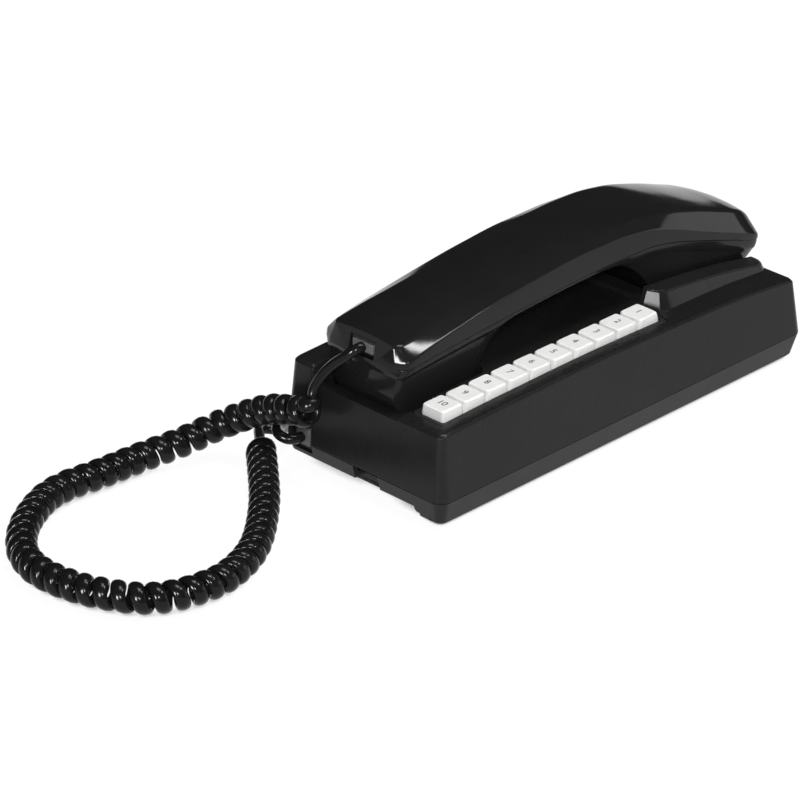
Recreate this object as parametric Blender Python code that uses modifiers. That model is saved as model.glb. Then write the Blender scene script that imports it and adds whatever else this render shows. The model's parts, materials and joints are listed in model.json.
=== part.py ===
"""Push-button intercom wall telephone with a handset on a coiled cord.

The telephone lies on its back: +Z points away from the wall side, +Y towards the
earpiece end, and +X towards the side that carries the row of ten buttons. The origin
is under the middle of the telephone, in the plane of its rubber feet. Metres.
"""

import math

import bmesh
import bpy
import numpy as np
from mathutils import Matrix, Vector

MM = 0.001

# Clearances
GAP = 0.3 * MM  # between pieces that seat on each other
SLIDE_GAP = 0.35 * MM  # round a piece that slides in another

# Body: a cover on a shallow tray
CORNER_RADIUS = 4.8 * MM
SEAM_HEIGHT = 11.7 * MM  # the line between tray and cover
FOOT_STANDOUT = 0.8 * MM
COVER_DRAFT = 3.0 * MM
TRAY_DRAFT = 2.5 * MM
WALL = 2.2 * MM
FLOOR = 2.4 * MM
DECK_HEIGHT = 41.7 * MM  # highest line of the deck
EDGE_ROUND = 1.2 * MM

# Cradle
RIM_WIDTH = 14.5 * MM  # raised rim along the left side
RIM_RISE = 5.5 * MM
RIM_CLEARANCE = 1.9 * MM  # between the rim and the handset
WELL_SIDE = -0.8 * MM  # the well's sides lie this far outside the handset's widest line
WELL_FLOOR = 26.0 * MM  # hollow under the mouthpiece
WELL_START = 7.5 * MM
WELL_END = 57.0 * MM
LIP_HEIGHT = 38.6 * MM  # near edge of the well
POCKET_SIDE = 1.0 * MM
POCKET_FLOOR = 33.5 * MM  # hollow under the earpiece
POCKET_START = 152.0 * MM
POCKET_END = 209.5 * MM
SADDLE_START = 145.0 * MM  # raised cheeks beside the earpiece
SADDLE_WALL = 8.4 * MM  # width of the right cheek's top
SADDLE_SETBACK = 3.4 * MM  # from the far end of the body
SADDLE_RISE = 7.6 * MM
SADDLE_END_RISE = 2.6 * MM
SADDLE_CORNER = 6.5 * MM

# Buttons
KEY_COUNT = 10
KEY_PITCH = 12.7 * MM
KEY_FROM_RIGHT = 17.0 * MM  # centre line of the row
KEY_TO_HANDSET = 4.1 * MM
KEY_START = 18.0 * MM  # first button's centre, from the near end
KEY_WIDTH = 12.6 * MM
KEY_LENGTH = 11.9 * MM
KEY_TOP_INSET = 0.5 * MM
KEY_STANDOUT = 2.9 * MM  # above the highest line of the deck
KEY_TRAVEL = 2.5 * MM
KEY_STEM = 5.0 * MM
BEZEL_MARGIN = 2.6 * MM
BEZEL_LIP = 1.5 * MM
BEZEL_SKIRT = 1.2 * MM
BEZEL_RISE = 0.1 * MM  # top of the bezel above the deck
BANK_HEIGHT = 10.0 * MM
BOARD_THICKNESS = 1.6 * MM

# Handset
HANDSET_HALF_WIDTH = 22.6 * MM
TABLE_LENGTH = 214.4 * MM  # length that the tables of the handset's lines are drawn for
HANDSET_HEADS = 88.2 * MM  # length of the two heads, past the row of buttons
HANDSET_LENGTH = HANDSET_HEADS + (KEY_COUNT - 1) * KEY_PITCH + KEY_LENGTH
HANDSET_SETBACK = 5.6 * MM  # near end of the handset, behind the near end of the body
HANDSET_OVERHANG = 2.3 * MM  # the earpiece reaches this far past the body
GRIP_START = 72.0 * MM  # a longer handset is longer between these two places
GRIP_END = 135.0 * MM
SHELL = 2.2 * MM
FRONT_STEP = 0.3 * MM  # the front shell is this much narrower at the seam
RECEIVER_RADIUS = 16.5 * MM
RECEIVER_DEPTH = 9.0 * MM
RECEIVER_AT = 187.0 * MM
MICROPHONE_RADIUS = 9.0 * MM
MICROPHONE_DEPTH = 6.5 * MM
MICROPHONE_AT = 31.0 * MM
GASKET_THICKNESS = 1.5 * MM
SOUND_HOLE_RADIUS = 1.1 * MM

# Hook switch
PLUNGER_AT = 168.0 * MM
PLUNGER_RADIUS = 3.0 * MM
PLUNGER_TRAVEL = 4.0 * MM
PLUNGER_FLANGE = 1.2 * MM

# Cord
STRAND_RADIUS = 2.3 * MM
COIL_RADIUS = 6.5 * MM

# Where the ends and the side faces lie
OVERALL_LENGTH = HANDSET_SETBACK + HANDSET_LENGTH
BODY_LENGTH = OVERALL_LENGTH - HANDSET_OVERHANG
NEAR_Y = -OVERALL_LENGTH / 2
FAR_Y = NEAR_Y + BODY_LENGTH
HANDSET_FROM_LEFT = RIM_WIDTH + RIM_CLEARANCE + HANDSET_HALF_WIDTH
BODY_WIDTH = (HANDSET_FROM_LEFT + HANDSET_HALF_WIDTH + KEY_TO_HANDSET + KEY_WIDTH / 2
              + KEY_FROM_RIGHT)
LEFT_X = -BODY_WIDTH / 2
RIGHT_X = BODY_WIDTH / 2
HANDSET_X = LEFT_X + HANDSET_FROM_LEFT
KEY_X = RIGHT_X - KEY_FROM_RIGHT
WELL_HALF_WIDTH = HANDSET_HALF_WIDTH + WELL_SIDE
POCKET_HALF_WIDTH = HANDSET_HALF_WIDTH + POCKET_SIDE
KEY_HEIGHT = DECK_HEIGHT + KEY_STANDOUT

parts = None
cutters = None


def along(distance):
    """The y of a place that lies a distance from the body's near end."""
    return NEAR_Y + distance


DRAWN = (-1.0, GRIP_START, GRIP_END, GRIP_END + 1.0)
BUILT = (-1.0, GRIP_START, GRIP_END + HANDSET_LENGTH - TABLE_LENGTH,
         GRIP_END + 1.0 + HANDSET_LENGTH - TABLE_LENGTH)


def beside(distance):
    """The y of a place in the tables of the handset's lines."""
    return along(float(np.interp(distance, DRAWN, BUILT)))


def drawn_distance(y):
    """The place in the tables that lies at y."""
    return float(np.interp(y - NEAR_Y, BUILT, DRAWN))


def curve_through(points):
    """A smooth curve through (position, height) points in millimetres, as a function.

    It never swings past a point, so that a flat stretch of the table stays flat.
    """
    at = np.array([p[0] for p in points]) * MM
    height = np.array([p[1] for p in points]) * MM
    secant = np.diff(height) / np.diff(at)
    slope = np.concatenate(([secant[0]], np.zeros(len(at) - 2), [secant[-1]]))
    for i in range(1, len(at) - 1):
        before, after = secant[i - 1], secant[i]
        if before * after > 0:
            slope[i] = 2 * before * after / (before + after)

    def value(position):
        s = min(max(position, at[0]), at[-1])
        i = min(int(np.searchsorted(at, s, side="right")) - 1, len(at) - 2)
        width = at[i + 1] - at[i]
        t = (s - at[i]) / width
        rise = height[i + 1] - height[i]
        a = slope[i] * width - rise
        b = rise - slope[i + 1] * width
        return float(height[i] + t * rise + t * (1 - t) * ((1 - t) * a + t * b))

    return value


# The deck's line along the body: it falls away at the earpiece end. (place, height below
# the highest line)
DECK_FALL = curve_through([(0, -1.6), (45, -0.5), (90, 0), (135, -0.8), (170, -1.9),
                           (190, -3.2), (217, -6.2)])


def deck(y):
    return DECK_HEIGHT + DECK_FALL(drawn_distance(y))


def saddle_share(y):
    """From 0 at the near end of the raised cheeks to 1 at the far end of the body."""
    start = beside(SADDLE_START)
    return min(max((y - start) / (FAR_Y - start), 0.0), 1.0)


def rim(y):
    """Top of the raised rim on the left side."""
    return deck(y) + RIM_RISE + (SADDLE_END_RISE - 0.8 * MM - RIM_RISE) * saddle_share(y)


def saddle(y):
    """Top of the raised cheeks."""
    return deck(y) + SADDLE_RISE + (SADDLE_END_RISE - SADDLE_RISE) * saddle_share(y)


# ---------------------------------------------------------------- modelling helpers


def material(name, colour, roughness, metallic=0.0):
    found = bpy.data.materials.get(name)
    if found:
        return found
    made = bpy.data.materials.new(name)
    made.use_nodes = True
    shader = made.node_tree.nodes["Principled BSDF"]
    shader.inputs["Base Color"].default_value = (*colour, 1.0)
    shader.inputs["Roughness"].default_value = roughness
    shader.inputs["Metallic"].default_value = metallic
    return made


def black_plastic():
    return material("black_plastic", (0.012, 0.012, 0.013), 0.22)


def dark_plastic():
    return material("dark_plastic", (0.03, 0.03, 0.032), 0.45)


def white_plastic():
    return material("white_plastic", (0.86, 0.86, 0.84), 0.35)


def rubber():
    return material("black_rubber", (0.02, 0.02, 0.02), 0.8)


def steel():
    return material("zinc_steel", (0.62, 0.62, 0.6), 0.35, 1.0)


def board_green():
    return material("board_green", (0.05, 0.16, 0.08), 0.5)


def place(mesh, name, finish, smooth=35):
    """A finished bmesh as a named object of the telephone."""
    bmesh.ops.recalc_face_normals(mesh, faces=mesh.faces)
    data = bpy.data.meshes.new(name)
    mesh.to_mesh(data)
    mesh.free()
    data.shade_smooth()
    data.set_sharp_from_angle(angle=math.radians(smooth))
    made = bpy.data.objects.new(name, data)
    data.materials.append(finish or dark_plastic())
    parts.objects.link(made)
    return made


def combine(target, tool, operation="DIFFERENCE"):
    """Cut a tool out of a target, or join it on. The tool becomes a hidden guide."""
    if tool.name in parts.objects:
        parts.objects.unlink(tool)
        cutters.objects.link(tool)
    tool.display_type = "WIRE"
    tool.hide_render = True
    step = target.modifiers.new(tool.name, "BOOLEAN")
    step.operation = operation
    step.solver = "EXACT"
    step.object = tool
    return target


def rounded_rows(box, radius, inset, stations, columns):
    """A rounded rectangle as rows of points across it, from its near to its far end."""
    x0, x1, y0, y1 = box
    x0, x1, y0, y1 = x0 + inset, x1 - inset, y0 + inset, y1 - inset
    r = max(radius - 0.5 * inset, 0.3 * MM)
    steps = 5 if radius > 2.5 * MM else 3
    arc = [k / steps * math.pi / 2 for k in range(steps + 1)]
    rows = [(y0 + r * (1 - math.cos(a)), r * (1 - math.sin(a))) for a in arc]
    rows += [(y, 0.0) for y in stations]
    rows += [(y1 - r * (1 - math.cos(a)), r * (1 - math.sin(a))) for a in reversed(arc)]
    return [[(x, y) for x in (x0 + cut, *columns, x1 - cut)] for y, cut in rows]


def slab(name, box, radius, levels, finish=None, stations=(), columns=()):
    """A solid with a rounded rectangle for its plan.

    levels, from bottom to top, are (inset, height), where height is a number or a
    function of x and y, so that a face can follow a curve.
    """
    mesh = bmesh.new()
    rings, caps = [], []
    for number, (inset, height) in enumerate(levels):
        rows = rounded_rows(box, radius, inset, stations, columns)
        level = height if callable(height) else lambda x, y, z=height: z
        whole = number in (0, len(levels) - 1)
        last = len(rows) - 1
        grid = []
        for j, row in enumerate(rows):
            keep = whole or j in (0, last)
            grid.append([mesh.verts.new((x, y, level(x, y))) if keep or i in (0, len(row) - 1)
                         else None for i, (x, y) in enumerate(row)])
        ring = grid[0] + [row[-1] for row in grid[1:-1]]
        ring += grid[-1][::-1] + [row[0] for row in grid[-2:0:-1]]
        rings.append(ring)
        if whole:
            caps.append(grid)
    for lower, upper in zip(rings, rings[1:]):
        for i in range(len(lower)):
            j = (i + 1) % len(lower)
            mesh.faces.new((lower[i], lower[j], upper[j], upper[i]))
    for grid in caps:
        for near, far in zip(grid, grid[1:]):
            for i in range(len(near) - 1):
                mesh.faces.new((near[i], near[i + 1], far[i + 1], far[i]))
    return place(mesh, name, finish)


def block(name, low, high, finish=None, bevel=0.0):
    """A box between two corners, with its edges broken by bevel."""
    mesh = bmesh.new()
    low, high = Vector(low), Vector(high)
    middle, size = (low + high) / 2, high - low
    matrix = Matrix.Translation(middle) @ Matrix.Diagonal((*size, 1.0))
    bmesh.ops.create_cube(mesh, size=1.0, matrix=matrix)
    if bevel:
        bmesh.ops.bevel(mesh, geom=mesh.edges[:], offset=bevel, segments=1, affect="EDGES")
    return place(mesh, name, finish)


def turned(name, profile, at, finish=None, steps=20, axis="Z"):
    """A turned solid: (radius, height) points from its bottom to its top, on an axis."""
    data = bpy.data.meshes.new(name)
    rim_points = [(0.0, profile[0][1])] + list(profile) + [(0.0, profile[-1][1])]
    top_down = rim_points[::-1]
    points = [(radius, 0.0, height) for radius, height in top_down]
    data.from_pydata(points, [(i, i + 1) for i in range(len(points) - 1)], [])
    made = bpy.data.objects.new(name, data)
    data.materials.append(finish or dark_plastic())
    parts.objects.link(made)
    made.location = at
    if axis == "Y":
        made.rotation_euler = (math.radians(90), 0.0, 0.0)
    screw = made.modifiers.new("turn", "SCREW")
    screw.steps = steps
    screw.render_steps = steps
    screw.use_merge_vertices = True
    screw.merge_threshold = 0.00005
    screw.use_smooth_shade = False
    return made


def rows_of_tools(name, count, make):
    """Several separate boxes or pins in one cutting tool."""
    mesh = bmesh.new()
    for number in range(count):
        make(mesh, number)
    return place(mesh, name, None)


# ---------------------------------------------------------------- body


def body_box():
    return (LEFT_X, RIGHT_X, NEAR_Y, FAR_Y)


def body_stations():
    """Rows along the body, close enough for the deck's curve."""
    count = 12
    start, end = NEAR_Y + 14 * MM, FAR_Y - 14 * MM
    return [start + (end - start) * k / (count - 1) for k in range(count)]


def rim_columns():
    """Lines along the slope between the raised rim and the deck."""
    edge = LEFT_X + RIM_WIDTH
    return (edge - 1.2 * MM, edge + 0.2 * MM, edge + 1.2 * MM)


def cover_top(x, y):
    """Height of the cover's outside, with its raised rim on the left."""
    edge = LEFT_X + RIM_WIDTH
    if x < edge - 1.0 * MM:
        return rim(y)
    if x < edge + 0.5 * MM:
        return rim(y) - 0.9 * MM
    return deck(y)


def cover_skin():
    """The outside of the cover as a solid."""
    start = SEAM_HEIGHT + GAP / 2

    def below(drop):
        return lambda x, y: cover_top(x, y) - drop

    levels = [
        (0.0, start),
        (0.9 * COVER_DRAFT, below(EDGE_ROUND)),
        (COVER_DRAFT + 0.25 * EDGE_ROUND, below(0.45 * EDGE_ROUND)),
        (COVER_DRAFT + 0.60 * EDGE_ROUND, below(0.12 * EDGE_ROUND)),
        (COVER_DRAFT + 1.15 * EDGE_ROUND, below(0.0)),
    ]
    return slab("top_cover", body_box(), CORNER_RADIUS, levels, black_plastic(),
                body_stations(), rim_columns())


def cover_hollow():
    """The space inside the cover, open at the seam."""
    levels = [
        (WALL, SEAM_HEIGHT - 1 * MM),
        (WALL + COVER_DRAFT, lambda x, y: cover_top(x, y) - WALL),
    ]
    return slab("cover_hollow", body_box(), CORNER_RADIUS, levels, None,
                body_stations(), rim_columns())


def saddle_solid():
    """The raised cheeks beside the earpiece."""
    start, end = beside(SADDLE_START), FAR_Y - SADDLE_SETBACK
    right = HANDSET_X + POCKET_HALF_WIDTH + SADDLE_WALL
    box = (LEFT_X + RIM_WIDTH / 2, right, start, end)
    stations = [start + (end - start) * k / 6 for k in (1, 2, 3, 4, 5)]
    levels = [
        (0.0, lambda x, y: deck(y) - 3 * MM),
        (0.1 * MM, lambda x, y: saddle(y) - 0.8 * MM),
        (0.3 * MM, lambda x, y: saddle(y) - 0.25 * MM),
        (0.9 * MM, lambda x, y: saddle(y)),
    ]
    return slab("saddle", box, SADDLE_CORNER, levels, None, stations)


def well_tool(name, grow):
    """The hollow under the mouthpiece, or the same with its walls when grown."""
    half = WELL_HALF_WIDTH + grow
    box = (HANDSET_X - half, HANDSET_X + half, along(WELL_START) - grow, along(WELL_END) + grow)
    levels = [
        (2.0 * MM, WELL_FLOOR - grow),
        (1.2 * MM, WELL_FLOOR - grow + 1.2 * MM),
        (0.0, DECK_HEIGHT + 12 * MM),
    ]
    return slab(name, box, 6 * MM + grow, levels)


def pocket_tool(name, grow):
    """The hollow under the earpiece."""
    half = POCKET_HALF_WIDTH + grow
    start, end = beside(POCKET_START), beside(POCKET_END)
    box = (HANDSET_X - half, HANDSET_X + half, start - grow, end + grow)
    levels = [
        (1.2 * MM, POCKET_FLOOR - grow),
        (0.4 * MM, POCKET_FLOOR - grow + 1.0 * MM),
        (0.0, DECK_HEIGHT + 14 * MM),
    ]
    return slab(name, box, 7 * MM + grow, levels)


def cradle_passage():
    """Room for the handset's neck and for the tip of the earpiece, over the low walls."""
    half = POCKET_HALF_WIDTH
    mesh = bmesh.new()
    spans = [
        (beside(SADDLE_START) - 3 * MM, beside(POCKET_START) + 8 * MM,
         deck(beside(POCKET_START)) + 2.2 * MM),
        (beside(POCKET_END) - 9 * MM, FAR_Y + 5 * MM, POCKET_FLOOR + 1.7 * MM),
    ]
    for start, end, floor in spans:
        size = Vector((2 * half, end - start, 30 * MM))
        middle = Vector((HANDSET_X, (start + end) / 2, floor + size.z / 2))
        matrix = Matrix.Translation(middle) @ Matrix.Diagonal((*size, 1.0))
        bmesh.ops.create_cube(mesh, size=1.0, matrix=matrix)
    return place(mesh, "cradle_passage", None)


def lip_passage():
    """The lowered near edge of the cover, in front of the mouthpiece."""
    box = (LEFT_X + RIM_WIDTH + 2.0 * MM, HANDSET_X + WELL_HALF_WIDTH + 2.0 * MM,
           NEAR_Y - 12 * MM, along(WELL_START) + 12 * MM)
    levels = [
        (1.0 * MM, LIP_HEIGHT),
        (0.0, LIP_HEIGHT + 1.2 * MM),
        (-1.5 * MM, DECK_HEIGHT + 12 * MM),
    ]
    return slab("lip_passage", box, 3 * MM, levels)


def post_places():
    """Where the four cover screws stand: x and distance from the near end."""
    left = LEFT_X + POST_FROM_LEFT
    right = RIGHT_X - POST_FROM_RIGHT
    far = FAR_Y - NEAR_Y - POST_FROM_END
    return [(left, NEAR_LEFT_POST), (right, NEAR_RIGHT_POST), (left, far), (right, far)]


POST_FROM_LEFT = 9.0 * MM
POST_FROM_RIGHT = 8.2 * MM
POST_FROM_END = 13.0 * MM
NEAR_LEFT_POST = 24.0 * MM
NEAR_RIGHT_POST = 6.4 * MM
POST_RADIUS = 3.1 * MM
POST_FOOT = 9.0 * MM
SCREW_RADIUS = 1.4 * MM
SCREW_HEAD_RADIUS = 2.8 * MM
SCREW_HEAD_HEIGHT = 1.9 * MM
SCREW_TIP = 20.0 * MM
HEAD_SEAT = 4.6 * MM  # height of the face that a screw head bears on
JACK_LEFT = 4.6 * MM
JACK_WIDTH = 11.6 * MM
JACK_TOP = 19.4 * MM
JACK_DEPTH = 13.0 * MM
RELIEF_HEIGHT = 5.3 * MM  # the tray's near end is raised off the table
RELIEF_DEPTH = 15.5 * MM
RELIEF_RIGHT = 75.2 * MM
OUTLET_LEFT = 39.8 * MM  # notch for the line cord in the raised edge
OUTLET_WIDTH = 14.0 * MM


def posts(name, radius, bottom, top):
    """Four upright pins at the cover screws, in one tool."""

    def make(mesh, number):
        x, distance = post_places()[number]
        depth = top(number) - bottom
        matrix = Matrix.Translation((x, along(distance), bottom + depth / 2))
        bmesh.ops.create_cone(mesh, cap_ends=True, segments=16, radius1=radius,
                              radius2=radius, depth=depth, matrix=matrix)

    return rows_of_tools(name, len(post_places()), make)


def post_top(number):
    x, distance = post_places()[number]
    return cover_top(x, along(distance)) - 1.2 * MM


def key_row_box(margin):
    first = along(KEY_START)
    last = first + (KEY_COUNT - 1) * KEY_PITCH
    half_width = KEY_WIDTH / 2 + margin
    half_length = KEY_LENGTH / 2 + margin
    return (KEY_X - half_width, KEY_X + half_width, first - half_length, last + half_length)


def key_row_stations():
    first = along(KEY_START)
    return [first + k * KEY_PITCH for k in range(1, KEY_COUNT - 1)]


def bezel_top(x, y):
    return deck(y) + BEZEL_RISE


def make_top_cover():
    cover = cover_skin()
    combine(cover, saddle_solid(), "UNION")
    hollow = cover_hollow()
    combine(hollow, well_tool("well_walls", WALL))
    combine(hollow, pocket_tool("pocket_walls", WALL))
    combine(cover, hollow)
    combine(cover, posts("cover_posts", POST_RADIUS, POST_FOOT, post_top), "UNION")
    combine(cover, well_tool("well", 0.0))
    combine(cover, pocket_tool("pocket", 0.0))
    combine(cover, cradle_passage())
    combine(cover, lip_passage())
    recess = slab("bezel_recess", key_row_box(BEZEL_MARGIN + GAP), 2.4 * MM,
                  [(0.0, lambda x, y: deck(y) + BEZEL_RISE - BEZEL_LIP - GAP),
                   (0.0, DECK_HEIGHT + 3 * MM)], None, key_row_stations())
    combine(cover, recess)
    opening = slab("key_opening", key_row_box(0.6 * MM + BEZEL_SKIRT + GAP), 2.0 * MM,
                   [(0.0, DECK_HEIGHT - 9 * MM), (0.0, DECK_HEIGHT + 3 * MM)])
    combine(cover, opening)
    combine(cover, turned("plunger_hole", [(PLUNGER_RADIUS + SLIDE_GAP, POCKET_FLOOR - 5 * MM),
                                           (PLUNGER_RADIUS + SLIDE_GAP, POCKET_FLOOR + 2 * MM)],
                          (HANDSET_X, beside(PLUNGER_AT), 0.0)))
    combine(cover, jack_notch())
    combine(cover, posts("post_holes", SCREW_RADIUS + 0.2 * MM, POST_FOOT - 1 * MM,
                         lambda number: SCREW_TIP + 1 * MM))
    return cover


def jack_notch():
    """The opening in the near left corner for the handset cord's socket."""
    left = LEFT_X + JACK_LEFT
    return block("jack_notch", (left, NEAR_Y - 5 * MM, RELIEF_HEIGHT + 0.6 * MM),
                 (left + JACK_WIDTH, along(JACK_DEPTH), JACK_TOP))


def relief_tool(name, grow):
    """The step that lifts the tray's near edge off the table."""
    mesh = bmesh.new()
    low = Vector((LEFT_X - 5 * MM, NEAR_Y - 5 * MM, -5 * MM))
    high = Vector((LEFT_X + RELIEF_RIGHT + grow, along(RELIEF_DEPTH) + grow, RELIEF_HEIGHT + grow))
    matrix = Matrix.Translation((low + high) / 2) @ Matrix.Diagonal((*(high - low), 1.0))
    bmesh.ops.create_cube(mesh, size=1.0, matrix=matrix)
    edges = [e for e in mesh.edges if all(v.co.x > 0.0 for v in e.verts)
             and all(v.co.z > 0.0 for v in e.verts)]
    bmesh.ops.bevel(mesh, geom=edges, offset=2.5 * MM, segments=3, affect="EDGES")
    return place(mesh, name, None)


def make_base_tray():
    levels = [
        (TRAY_DRAFT + 0.9 * MM, FOOT_STANDOUT),
        (TRAY_DRAFT, FOOT_STANDOUT + 0.9 * MM),
        (0.0, SEAM_HEIGHT - GAP / 2),
    ]
    tray = slab("base_tray", body_box(), CORNER_RADIUS, levels, black_plastic())
    hollow = slab("tray_hollow", body_box(), CORNER_RADIUS, [
        (WALL + TRAY_DRAFT, FOOT_STANDOUT + FLOOR),
        (WALL, SEAM_HEIGHT + 1 * MM),
    ])
    combine(hollow, relief_tool("relief_walls", FLOOR))
    combine(tray, relief_tool("relief", 0.0))
    combine(tray, hollow)
    combine(tray, posts("tray_bosses", POST_RADIUS + 1.2 * MM, FOOT_STANDOUT + 1 * MM,
                        lambda number: POST_FOOT - GAP), "UNION")
    combine(tray, posts("screw_recesses", SCREW_HEAD_RADIUS + 0.4 * MM, -2 * MM,
                        lambda number: HEAD_SEAT))
    combine(tray, posts("screw_holes", SCREW_RADIUS + 0.25 * MM, -3 * MM,
                        lambda number: POST_FOOT + 2 * MM))
    combine(tray, board_pillars(), "UNION")
    combine(tray, foot_tool("foot_recesses", FOOT_RADIUS + 0.3 * MM, -1 * MM, FOOT_TOP + GAP))
    left = LEFT_X + OUTLET_LEFT
    outlet = block("line_cord_outlet", (left, NEAR_Y - 4 * MM, 2 * MM),
                   (left + OUTLET_WIDTH, along(5 * MM), SEAM_HEIGHT + 3 * MM))
    combine(tray, outlet)
    combine(tray, tray_jack_notch())
    combine(tray, keyhole_tool())
    return tray


def tray_jack_notch():
    left = LEFT_X + JACK_LEFT
    return block("tray_jack_notch", (left, NEAR_Y - 5 * MM, RELIEF_HEIGHT + FLOOR - 0.4 * MM),
                 (left + JACK_WIDTH, along(JACK_DEPTH), SEAM_HEIGHT + 3 * MM))


FOOT_RADIUS = 5.0 * MM
FOOT_TOP = 1.8 * MM
FOOT_FROM_SIDE = 13.0 * MM
FOOT_FROM_END = 29.0 * MM
NEAR_LEFT_FOOT = 40.0 * MM
NEAR_RIGHT_FOOT = 24.0 * MM
FOOT_PLACES = [(-1, along(NEAR_LEFT_FOOT)), (1, along(NEAR_RIGHT_FOOT)),
               (-1, FAR_Y - FOOT_FROM_END), (1, FAR_Y - FOOT_FROM_END)]


def foot_centre(number):
    side, y = FOOT_PLACES[number]
    return side * (BODY_WIDTH / 2 - FOOT_FROM_SIDE), y


def foot_tool(name, radius, bottom, top):
    def make(mesh, number):
        x, y = foot_centre(number)
        matrix = Matrix.Translation((x, y, (bottom + top) / 2))
        bmesh.ops.create_cone(mesh, cap_ends=True, segments=20, radius1=radius,
                              radius2=radius, depth=top - bottom, matrix=matrix)

    return rows_of_tools(name, len(FOOT_PLACES), make)


def make_feet():
    for number in range(len(FOOT_PLACES)):
        x, y = foot_centre(number)
        profile = [(FOOT_RADIUS - 0.5 * MM, 0.0), (FOOT_RADIUS, 0.5 * MM), (FOOT_RADIUS, FOOT_TOP)]
        turned(f"rubber_foot_{number + 1}", profile, (x, y, 0.0), rubber())


def make_cover_screws():
    for number, (x, distance) in enumerate(post_places()):
        seat = HEAD_SEAT - GAP
        profile = [(SCREW_HEAD_RADIUS - 0.5 * MM, seat - SCREW_HEAD_HEIGHT),
                   (SCREW_HEAD_RADIUS, seat - 0.6 * SCREW_HEAD_HEIGHT),
                   (SCREW_HEAD_RADIUS, seat), (SCREW_RADIUS, seat),
                   (SCREW_RADIUS, SCREW_TIP - 1 * MM), (0.5 * MM, SCREW_TIP)]
        turned(f"cover_screw_{number + 1}", profile, (x, along(distance), 0.0), steel(), 16)


KEYHOLE_HEAD = 4.2 * MM
KEYHOLE_SLOT = 2.1 * MM
KEYHOLE_RUN = 9.0 * MM
KEYHOLE_PITCH = 96.0 * MM


def keyhole_tool():
    """Two keyholes that the telephone hangs on at a wall: a head hole and its slot."""

    def make(mesh, number):
        y = (number - 0.5) * KEYHOLE_PITCH
        depth = FOOT_STANDOUT + FLOOR + 4 * MM
        hole = Matrix.Translation((0.0, y, FLOOR / 2))
        bmesh.ops.create_cone(mesh, cap_ends=True, segments=20, radius1=KEYHOLE_HEAD,
                              radius2=KEYHOLE_HEAD, depth=depth, matrix=hole)

    tool = rows_of_tools("keyholes", 2, make)

    def make_slot(mesh, number):
        y = (number - 0.5) * KEYHOLE_PITCH
        size = (2 * KEYHOLE_SLOT, KEYHOLE_RUN, FOOT_STANDOUT + FLOOR + 5 * MM)
        middle = (0.0, y + KEYHOLE_RUN / 2, FLOOR / 2)
        matrix = Matrix.Translation(middle) @ Matrix.Diagonal((*size, 1.0))
        bmesh.ops.create_cube(mesh, size=1.0, matrix=matrix)

    slots = rows_of_tools("keyhole_slots", 2, make_slot)
    return combine(tool, slots, "UNION")


# ---------------------------------------------------------------- buttons


def make_bezel():
    box = key_row_box(BEZEL_MARGIN)
    under = DECK_HEIGHT - BEZEL_LIP
    top = [(0.0, lambda x, y: bezel_top(x, y) - BEZEL_LIP),
           (0.0, lambda x, y: bezel_top(x, y) - 0.5 * MM),
           (0.5 * MM, bezel_top)]
    bezel = slab("button_bezel", box, 2.2 * MM, top, dark_plastic(), key_row_stations())
    skirt_bottom = bank_top() + GAP
    skirt = slab("bezel_skirt", key_row_box(0.6 * MM + BEZEL_SKIRT), 1.8 * MM,
                 [(0.0, skirt_bottom), (0.0, under - 0.9 * MM)])
    combine(bezel, skirt, "UNION")
    opening = slab("bezel_opening", key_row_box(0.6 * MM), 1.2 * MM,
                   [(0.0, skirt_bottom - 2 * MM), (0.0, DECK_HEIGHT + 3 * MM)])
    combine(bezel, opening)
    return bezel


def cap_bottom():
    return DECK_HEIGHT - KEY_TRAVEL - 1.1 * MM


def bank_top():
    return cap_bottom() - KEY_TRAVEL - 0.4 * MM


def make_keys():
    stem_inset_x = (KEY_WIDTH - KEY_STEM) / 2
    stem_bottom = bank_top() - 0.45 * BANK_HEIGHT
    for number in range(KEY_COUNT):
        y = along(KEY_START) + number * KEY_PITCH
        box = (KEY_X - KEY_WIDTH / 2, KEY_X + KEY_WIDTH / 2, y - KEY_LENGTH / 2, y + KEY_LENGTH / 2)
        levels = [
            (0.0, cap_bottom()),
            (0.0, DECK_HEIGHT - 0.4 * MM),
            (KEY_TOP_INSET, KEY_HEIGHT - 0.5 * MM),
            (KEY_TOP_INSET + 0.55 * MM, KEY_HEIGHT),
        ]
        shaft = block(f"stem_{number + 1}",
                      (box[0] + stem_inset_x, y - KEY_STEM / 2, stem_bottom),
                      (box[1] - stem_inset_x, y + KEY_STEM / 2, cap_bottom() + 1 * MM))
        key = slab(f"push_button_{KEY_COUNT - number}", box, 1.6 * MM, levels, white_plastic())
        combine(key, shaft, "UNION")


def make_switch_bank():
    top = bank_top()
    bank = slab("switch_bank", key_row_box(0.6 * MM + BEZEL_SKIRT + 0.5 * MM), 1.0 * MM,
                [(0.0, top - BANK_HEIGHT), (0.0, top)], dark_plastic())

    def make(mesh, number):
        y = along(KEY_START) + number * KEY_PITCH
        side = KEY_STEM + 2 * SLIDE_GAP
        depth = 0.45 * BANK_HEIGHT + KEY_TRAVEL + 0.6 * MM
        middle = (KEY_X, y, top - depth / 2 + 0.5 * MM)
        matrix = Matrix.Translation(middle) @ Matrix.Diagonal((side, side, depth + 1 * MM, 1.0))
        bmesh.ops.create_cube(mesh, size=1.0, matrix=matrix)

    combine(bank, rows_of_tools("stem_guides", KEY_COUNT, make))
    board_top = top - BANK_HEIGHT - GAP
    slab("button_board", key_row_box(0.6 * MM + BEZEL_SKIRT + 0.5 * MM), 1.0 * MM,
         [(0.0, board_top - BOARD_THICKNESS), (0.0, board_top)], board_green())
    return bank


# ---------------------------------------------------------------- inside the body

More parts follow.
